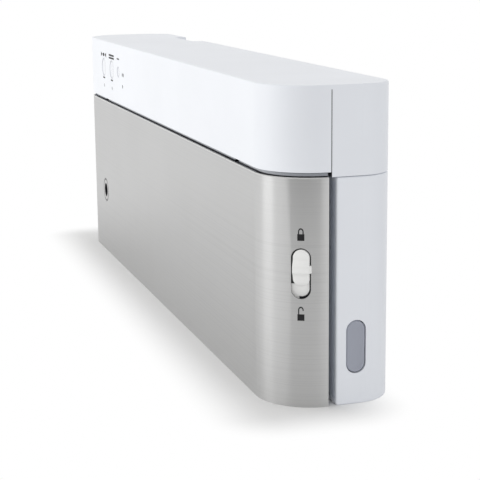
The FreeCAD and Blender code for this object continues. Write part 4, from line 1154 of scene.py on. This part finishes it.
def drop_points(half_width=0.9, half_height=1.25, taper=0.25):
    """Drop, narrower at one end."""
    points = []
    for step in range(12):
        angle = math.radians(30 * step)
        narrowing = 1 - taper * math.cos(angle)
        points.append((half_width * math.sin(angle) * narrowing, -half_height * math.cos(angle)))
    return points


def mark(name, points, x, z, depth):
    """Flat symbol on the panel's face."""
    face = LID_FACE - depth
    return drawn(name, [(x + u * MM, face, z + v * MM) for u, v in points], (0, 2 * depth, 0))


def outline_ring(name, radius, place, depth):
    """Thin printed ring."""
    clear_selection()
    turn = (math.pi / 2, 0, 0)
    bpy.ops.mesh.primitive_cylinder_add(
        vertices=OUTLINE_SIDES, radius=radius, depth=depth, rotation=turn, location=place
    )
    piece = named(name)
    apply_place(piece)
    open_middle(piece, OUTLINE_WIDTH)
    return piece


class SEALER_OT_panel_marks(bpy.types.Operator):
    """Printed symbols on the control panel, and the rings round its keys"""

    bl_idname = "sealer.panel_marks"
    bl_label = "Panel symbols"

    def execute(self, context):
        depth = context.scene.sealer_details.ink_height
        vacuum_x, seal_x, mode_x = (x for x, radius in KEYS.values())
        near_drop, far_drop = (mode_x + step for step in DROP_STEPS)
        line = bar_points(16.0, 1.2)
        dash = bar_points(6.5, 1.0)
        drop = drop_points()
        marks = []
        for name, points, x, z in (
            ("arrow_in", ARROW, vacuum_x - ARROW_STEP, LABEL_Z),
            ("arrow_back", BACK_ARROW, vacuum_x + ARROW_STEP, LABEL_Z),
            ("squeeze", bar_points(5.4, 2.2), vacuum_x, LABEL_Z),
            ("seal_line", line, seal_x, LABEL_Z + LINE_STEP),
            ("seal_under", line, seal_x, LABEL_Z - LINE_STEP),
            ("vacuum_dash", dash, vacuum_x, DASH_Z),
            ("seal_dash", dash, seal_x, DASH_Z),
            ("wet_drop", drop, near_drop, DROP_Z),
            ("second_drop", drop, far_drop, DROP_Z),
            ("dry_drop", drop, near_drop, LOW_DROP_Z),
            ("mode_dash", bar_points(7.0, 0.9), mode_x, LABEL_Z),
        ):
            marks.append(mark(name, points, x, z, depth))
        piece = joined("panel_symbols", marks)
        settle(piece, "housing", "switch_plastic", "ink")
        outlines = []
        for key, (x, radius) in KEYS.items():
            place = (x, LID_FACE, KEY_Z)
            outlines.append(outline_ring(key + "_outline", radius + OUTLINE_GAP, place, 2 * depth))
        piece = joined("key_rings", outlines)
        settle(piece, "housing", "switch_plastic", "pale_ink")
        return {"FINISHED"}


# Padlocks beside the latch slots, in millimetres: height of the shackle's feet, short leg and lift of each

LOCK_BODY = ((-1.7, -2.4), (1.7, -2.4), (1.7, 0.1), (-1.7, 0.1))
LOCK_RADIUS = 1.35
LOCK_WIRE = 0.55
LOCKS = (("closed", 80.2, 1.0, 1.0), ("open", 43.6, 0.3, 1.7))
LOCK_STRETCH = (0.95, 1.2)
LOCK_STANDOFF = 0.3 * MM
LOCK_SHEET = 0.02 * MM


def lock_shackle(leg, lift):
    """Arch of a padlock, drawn upwards from its feet, with a shorter leg on one side when it is open."""
    outer = []
    inner = []
    hollow = LOCK_RADIUS - LOCK_WIRE
    for step in range(9):
        angle = math.radians(180 - 22.5 * step)
        outer.append((LOCK_RADIUS * math.cos(angle), lift + LOCK_RADIUS * math.sin(angle)))
        inner.append((hollow * math.cos(angle), lift + hollow * math.sin(angle)))
    end = [(LOCK_RADIUS, lift - leg), (hollow, lift - leg)]
    return [(-LOCK_RADIUS, 0.0)] + outer + end + inner[::-1] + [(-hollow, 0.0)]


def on_corner(name, points, height, depth):
    """Flat sheet in the shape of a symbol, wrapped onto the lid's round corner."""
    face = LATCH_PLACE + LATCH_OUT * LOCK_STANDOFF
    corners = []
    for u, v in points:
        point = face + LATCH_ACROSS * (LOCK_STRETCH[0] * u * MM)
        point.z = (height + LOCK_STRETCH[1] * v) * MM
        corners.append(point)
    piece = drawn(name, corners, -LATCH_OUT * LOCK_SHEET)
    into_edit(piece)
    pick(piece, "FACE", lambda f: f.normal.dot(LATCH_OUT) < FACING)
    bpy.ops.mesh.delete(type="FACE")
    select_mesh()
    bpy.ops.mesh.quads_convert_to_tris()
    bpy.ops.mesh.subdivide(number_cuts=2)
    out_of_edit()
    modify(piece, "SHRINKWRAP", target=NODES["lid_panel"], wrap_method="NEAREST_SURFACEPOINT", offset=depth)
    return piece


class SEALER_OT_latch_marks(bpy.types.Operator):
    """Closed and open padlocks above and below each latch slot"""

    bl_idname = "sealer.latch_marks"
    bl_label = "Latch symbols"

    def execute(self, context):
        depth = context.scene.sealer_details.ink_height
        marks = []
        for name, height, leg, lift in LOCKS:
            marks.append(on_corner("lock_body_" + name, LOCK_BODY, height, depth))
            marks.append(on_corner("lock_shackle_" + name, lock_shackle(leg, lift), height, depth))
        right = joined("latch_symbols_right", marks)
        modify(right, "SOLIDIFY", thickness=depth, offset=-1.0)
        left = flipped("latch_symbols_left", right)
        for piece in (right, left):
            settle(piece, "lid", "switch_plastic", "ink")
        return {"FINISHED"}


# Soft seals

FOAM_WIDTH = 6 * MM
STRIP_INSET = 1.6 * MM
STRIP_BEVEL = 0.5 * MM
STRIP_ROUND = 0.35 * MM
STRIP_REACH = 0.01 * MM


def foam_ring(name, node, rounding):
    """Foam ring with rounded edges in the place of its plain solid."""
    low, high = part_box(node)
    size = high - low
    piece = oblong(name, size.x, size.z, size.y, "Y", middle_of(node), segments=72)
    open_middle(piece, FOAM_WIDTH)
    round_edges(piece, rounding, segments=4, angle=60)
    return piece


class SEALER_OT_gaskets(bpy.types.Operator):
    """Foam gaskets round the trough, in the base and in the lid"""

    bl_idname = "sealer.gaskets"
    bl_label = "Gaskets"

    def execute(self, context):
        rounding = context.scene.sealer_details.foam_round
        for name, body, node in (
            ("base_foam", "housing", "lower_gasket"),
            ("lid_foam", "lid", "upper_gasket"),
        ):
            piece = foam_ring(name, node, rounding)
            settle(piece, body, "foam", "foam", node)
        return {"FINISHED"}


class SEALER_OT_sealing_strip(bpy.types.Operator):
    """Silicone strip that presses the bag onto the seal bar"""

    bl_idname = "sealer.sealing_strip"
    bl_label = "Sealing strip"

    def execute(self, context):
        low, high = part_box("sealing_rubber")

        def lengthwise(edge):
            start, end = (vertex.co for vertex in edge.verts)
            return (start.y + end.y) / 2 > high.y - STRIP_REACH and abs(start.z - end.z) < MM

        piece = block("seal_strip", low, high)
        into_edit(piece)
        pick(piece, "FACE", lambda f: f.normal.y > FACING)
        bpy.ops.mesh.inset(thickness=STRIP_INSET)
        pick(piece, "EDGE", lengthwise)
        bpy.ops.mesh.bevel(offset=STRIP_BEVEL, segments=2)
        out_of_edit()
        round_edges(piece, STRIP_ROUND, angle=40)
        settle(piece, "lid", "silicone", "silicone", "sealing_rubber")
        return {"FINISHED"}


# Feet and screws: half sections are in millimetres from the outer face

FEET = tuple(mm(x, z) for x in (178, -178) for z in (16, 126))
FOOT_STEPS = (
    (3.0, -2.0), (7.0, -2.0), (7.0, -0.45), (6.85, -0.15), (6.5, 0.0), (5.2, 0.0), (5.0, -0.3),
    (4.2, -0.3), (4.0, 0.0), (2.6, -0.05), (1.0, -0.1),
)
SCREWS = tuple(
    mm(x, z) for x, z in ((140, 27), (140, 84), (-140, 27), (-140, 84), (-187, 126), (8, 126), (187, 126))
)
SCREW_LENGTH = 20
SCREW_STEPS = (
    (0.8, -SCREW_LENGTH), (1.45, 1 - SCREW_LENGTH), (1.45, -2.0), (2.9, -2.0), (2.9, -0.6), (2.6, -0.2),
    (2.0, 0.0), (0.8, 0.0),
)
SCREW_SIDES = 32
CROSS_REACH = 1.6 * MM
CROSS_HALF = 0.32 * MM
CROSS_DEPTH = 1.1 * MM


class SEALER_OT_feet(bpy.types.Operator):
    """Rubber feet with a moulded ring, on the back"""

    bl_idname = "sealer.feet"
    bl_label = "Feet"

    def execute(self, context):
        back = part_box("rubber_feet")[1].y
        foot = turned("foot", rings(back, FOOT_STEPS))
        shade(foot)
        feet = repeated("back_feet", foot, FEET)
        settle(feet, "housing", "black_rubber", "rubber", "rubber_feet")
        return {"FINISHED"}


class SEALER_OT_screws(bpy.types.Operator):
    """Cross-recessed screws, deep in the back"""

    bl_idname = "sealer.screws"
    bl_label = "Screws"

    def execute(self, context):
        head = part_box("rear_screws")[1].y
        screw = turned("screw", rings(head, SCREW_STEPS), segments=SCREW_SIDES)
        for x, z in ((CROSS_REACH, CROSS_HALF), (CROSS_HALF, CROSS_REACH)):
            tool = block("cross_arm", (-x, head - CROSS_DEPTH, -z), (x, head + MM, z))
            carve(screw, tool, "DIFFERENCE")
        shade(screw, angle=30)
        screws = repeated("back_screws", screw, SCREWS)
        settle(screws, "housing", "steel", "steel", "rear_screws")
        return {"FINISHED"}


# Stage: lights, floor and card have their places and sizes in metres

SEEN_RAYS = ("Is Camera Ray", "Is Glossy Ray", "Is Transmission Ray")
WHITE = (1, 1, 1, 1)
FLOOR_SIZE = 12
FRONT_BOX = {"size": (1.6, 1.0), "place": (-0.7, -2.2, 0.6), "target": (0, 0, 0.07)}
FRONT_TINT = (1.0, 0.97, 0.9)
EDGE_BOX = {"size": (0.8, 0.7), "place": (-0.31, -1.44, 0.35), "target": (0.2, 0, 0.07)}
CARD_HEIGHT = 0.5
CARD_TARGET = Vector((CORNER.x, CORNER.y, 0.1))
CARD_TONE = (0.02, 0.02, 0.02, 1)
CARD_ROUGHNESS = 0.9
SENSOR_WIDTH = 36
NEAREST_SIGHT = 0.01


def camera_axes(stage):
    """Right, up and back of the camera from its heading, tilt and roll."""
    level_share = math.cos(stage.pitch)
    ahead = Vector(
        (-math.cos(stage.yaw) * level_share, math.sin(stage.yaw) * level_share, -math.sin(stage.pitch))
    )
    level = ahead.cross(Vector((0, 0, 1))).normalized()
    rise = level.cross(ahead)
    right = math.cos(stage.roll) * level + math.sin(stage.roll) * rise
    up = -math.sin(stage.roll) * level + math.cos(stage.roll) * rise
    return right, up, -ahead


def panel_light(name, power, size, place, target):
    """Soft box that looks at a point."""
    clear_selection()
    bpy.ops.object.light_add(type="AREA", location=place)
    lamp = bpy.context.object
    lamp.name = name
    lamp.data.energy = power
    lamp.data.shape = "RECTANGLE"
    lamp.data.size, lamp.data.size_y = size
    lamp.rotation_euler = (Vector(target) - Vector(place)).to_track_quat("-Z", "Y").to_euler()
    return lamp


def seen_by(tree, *kinds):
    """One where the ray is of any of the given kinds."""
    path = tree.add("ShaderNodeLightPath")
    found = path.outputs[kinds[0]]
    for kind in kinds[1:]:
        found = tree.reckon("MAXIMUM", found, path.outputs[kind])
    return found


def away(tree, reach):
    """Nought at the foot of the front half and one beyond a distance from it."""
    half_depth = -LID_FACE / 2
    distance = tree.vector_steps(
        tree.add("ShaderNodeTexCoord").outputs["Object"],
        ("ADD", (0, half_depth, 0)),
        ("ABSOLUTE", None),
        ("SUBTRACT", (CAD_HIGH.x, half_depth, 0)),
        ("MAXIMUM", (0, 0, 0)),
        ("LENGTH", None),
    )
    fade = tree.add("ShaderNodeMapRange", Value=distance, From_Max=reach)
    fade.interpolation_type = "SMOOTHSTEP"
    return fade.outputs["Result"]


def matt(tree, tone):
    """Matt surface of a grey tone."""
    return tree.add("ShaderNodeBsdfDiffuse", Color=(tone, tone, tone, 1)).outputs[0]


def white_floor(stage):
    """Floor that bounces light; where it is seen it is a lit matt grey near the foot that fades to plain
    white, so the shadow round the foot is partly real and partly painted shade, and reflections see the
    same over a wider reach.
    """
    material = bpy.data.materials.new("pale_floor")
    tree = Tree(material)
    tree.nodes.clear()
    white = tree.add("ShaderNodeEmission", Color=WHITE, Strength=1.0).outputs[0]
    # Painted shade: lit matt grey near the foot, under its real shadow, fading to plain white
    seen = tree.choose(away(tree, stage.shadow_reach), matt(tree, stage.floor_tone), white)
    # Painted shade in reflections: a darker floor near the foot, under its real shadow, fading to white
    mirrored = tree.choose(away(tree, stage.mirror_reach), matt(tree, stage.mirror_tone), white)
    shown = tree.choose(seen_by(tree, "Is Glossy Ray"), seen, mirrored)
    chosen = tree.choose(seen_by(tree, *SEEN_RAYS), matt(tree, stage.floor_bounce), shown)
    tree.add("ShaderNodeOutputMaterial", Surface=chosen)
    return material


def white_world(stage):
    """Even soft light, white where it is seen."""
    world = bpy.data.worlds.new("studio")
    tree = Tree(world)
    tree.nodes.clear()
    light = tree.add("ShaderNodeBackground", Color=WHITE, Strength=stage.sky).outputs[0]
    white = tree.add("ShaderNodeBackground", Color=WHITE, Strength=1.0).outputs[0]
    chosen = tree.choose(seen_by(tree, *SEEN_RAYS), light, white)
    tree.add("ShaderNodeOutputWorld", Surface=chosen)
    return world


def dark_card(stage):
    """Black card in front of the near end, which only reflections see."""
    clear_selection()
    turn = (CARD_TARGET - Vector(stage.card_place)).to_track_quat("Z", "Y").to_euler()
    bpy.ops.mesh.primitive_plane_add(size=1, rotation=turn, location=stage.card_place)
    card = named("dark_card")
    card.scale = (stage.card_width, CARD_HEIGHT, 1)
    apply_place(card)
    material = bpy.data.materials.new("black_card")
    shader = Tree(material).nodes["Principled BSDF"]
    shader.inputs["Base Color"].default_value = CARD_TONE
    shader.inputs["Roughness"].default_value = CARD_ROUGHNESS
    card.data.materials.append(material)
    card.visible_camera = False
    card.visible_diffuse = False
    card.visible_shadow = False
    card.visible_transmission = False
    return card


def photo_camera(stage):
    """Camera at the photograph's place."""
    clear_selection()
    bpy.ops.object.camera_add()
    camera = bpy.context.object
    camera.name = "photo_camera"
    turn = Matrix(camera_axes(stage)).transposed()
    camera.matrix_world = Matrix.Translation(Vector(stage.camera_place)) @ turn.to_4x4()
    camera.data.sensor_width = SENSOR_WIDTH
    camera.data.lens = stage.lens
    camera.data.clip_start = NEAREST_SIGHT
    return camera


class SEALER_OT_stage(bpy.types.Operator):
    """Floor, card, soft light and camera"""

    bl_idname = "sealer.stage"
    bl_label = "Stage"

    def execute(self, context):
        scene = context.scene
        stage = scene.sealer_stage
        scene.view_settings.view_transform = "Standard"
        scene.world = white_world(stage)
        clear_selection()
        bpy.ops.mesh.primitive_plane_add(size=FLOOR_SIZE, location=(0, 0, CAD_LOW.z))
        floor = named("floor")
        apply_place(floor)
        floor.data.materials.append(white_floor(stage))
        dark_card(stage)
        front = panel_light("front_box", stage.key_power, **FRONT_BOX)
        front.data.color = FRONT_TINT
        front.visible_glossy = False
        panel_light("edge_box", stage.edge_power, **EDGE_BOX)
        scene.camera = photo_camera(stage)
        return {"FINISHED"}


# Panel


class SEALER_PT_panel(bpy.types.Panel):
    """Pieces of the vacuum sealer"""

    bl_idname = "SEALER_PT_panel"
    bl_label = "Vacuum sealer"
    bl_space_type = "VIEW_3D"
    bl_region_type = "UI"
    bl_category = "Sealer"

    def draw(self, context):
        layout = self.layout
        for name, kind in GROUPS.items():
            group = getattr(context.scene, name)
            box = layout.box()
            for label in kind.__annotations__:
                box.prop(group, label)
        for operator in OPERATORS:
            layout.operator(operator.bl_idname)


GROUPS = {
    "sealer_colours": SEALER_PG_colours,
    "sealer_details": SEALER_PG_details,
    "sealer_stage": SEALER_PG_stage,
}
OPERATORS = (
    SEALER_OT_casing,
    SEALER_OT_lid,
    SEALER_OT_lid_lip,
    SEALER_OT_workings,
    SEALER_OT_latch_slides,
    SEALER_OT_release_buttons,
    SEALER_OT_release_springs,
    SEALER_OT_press_keys,
    SEALER_OT_panel_marks,
    SEALER_OT_latch_marks,
    SEALER_OT_gaskets,
    SEALER_OT_sealing_strip,
    SEALER_OT_feet,
    SEALER_OT_screws,
    SEALER_OT_stage,
)


def register():
    for group in GROUPS.values():
        bpy.utils.register_class(group)
    for operator in OPERATORS:
        bpy.utils.register_class(operator)
    bpy.utils.register_class(SEALER_PT_panel)
    for name, group in GROUPS.items():
        setattr(bpy.types.Scene, name, PointerProperty(type=group))


def unregister():
    for name in GROUPS:
        delattr(bpy.types.Scene, name)
    bpy.utils.unregister_class(SEALER_PT_panel)
    for operator in reversed(OPERATORS):
        bpy.utils.unregister_class(operator)
    for group in reversed(GROUPS.values()):
        bpy.utils.unregister_class(group)


def main():
    register()
    bpy.ops.sealer.casing()
    bpy.ops.sealer.lid()
    bpy.ops.sealer.lid_lip()
    bpy.ops.sealer.workings()
    bpy.ops.sealer.latch_slides()
    bpy.ops.sealer.release_buttons()
    bpy.ops.sealer.release_springs()
    bpy.ops.sealer.press_keys()
    bpy.ops.sealer.panel_marks()
    bpy.ops.sealer.latch_marks()
    bpy.ops.sealer.gaskets()
    bpy.ops.sealer.sealing_strip()
    bpy.ops.sealer.feet()
    bpy.ops.sealer.screws()
    bpy.ops.sealer.stage()


if __name__ == "__main__":
    main()
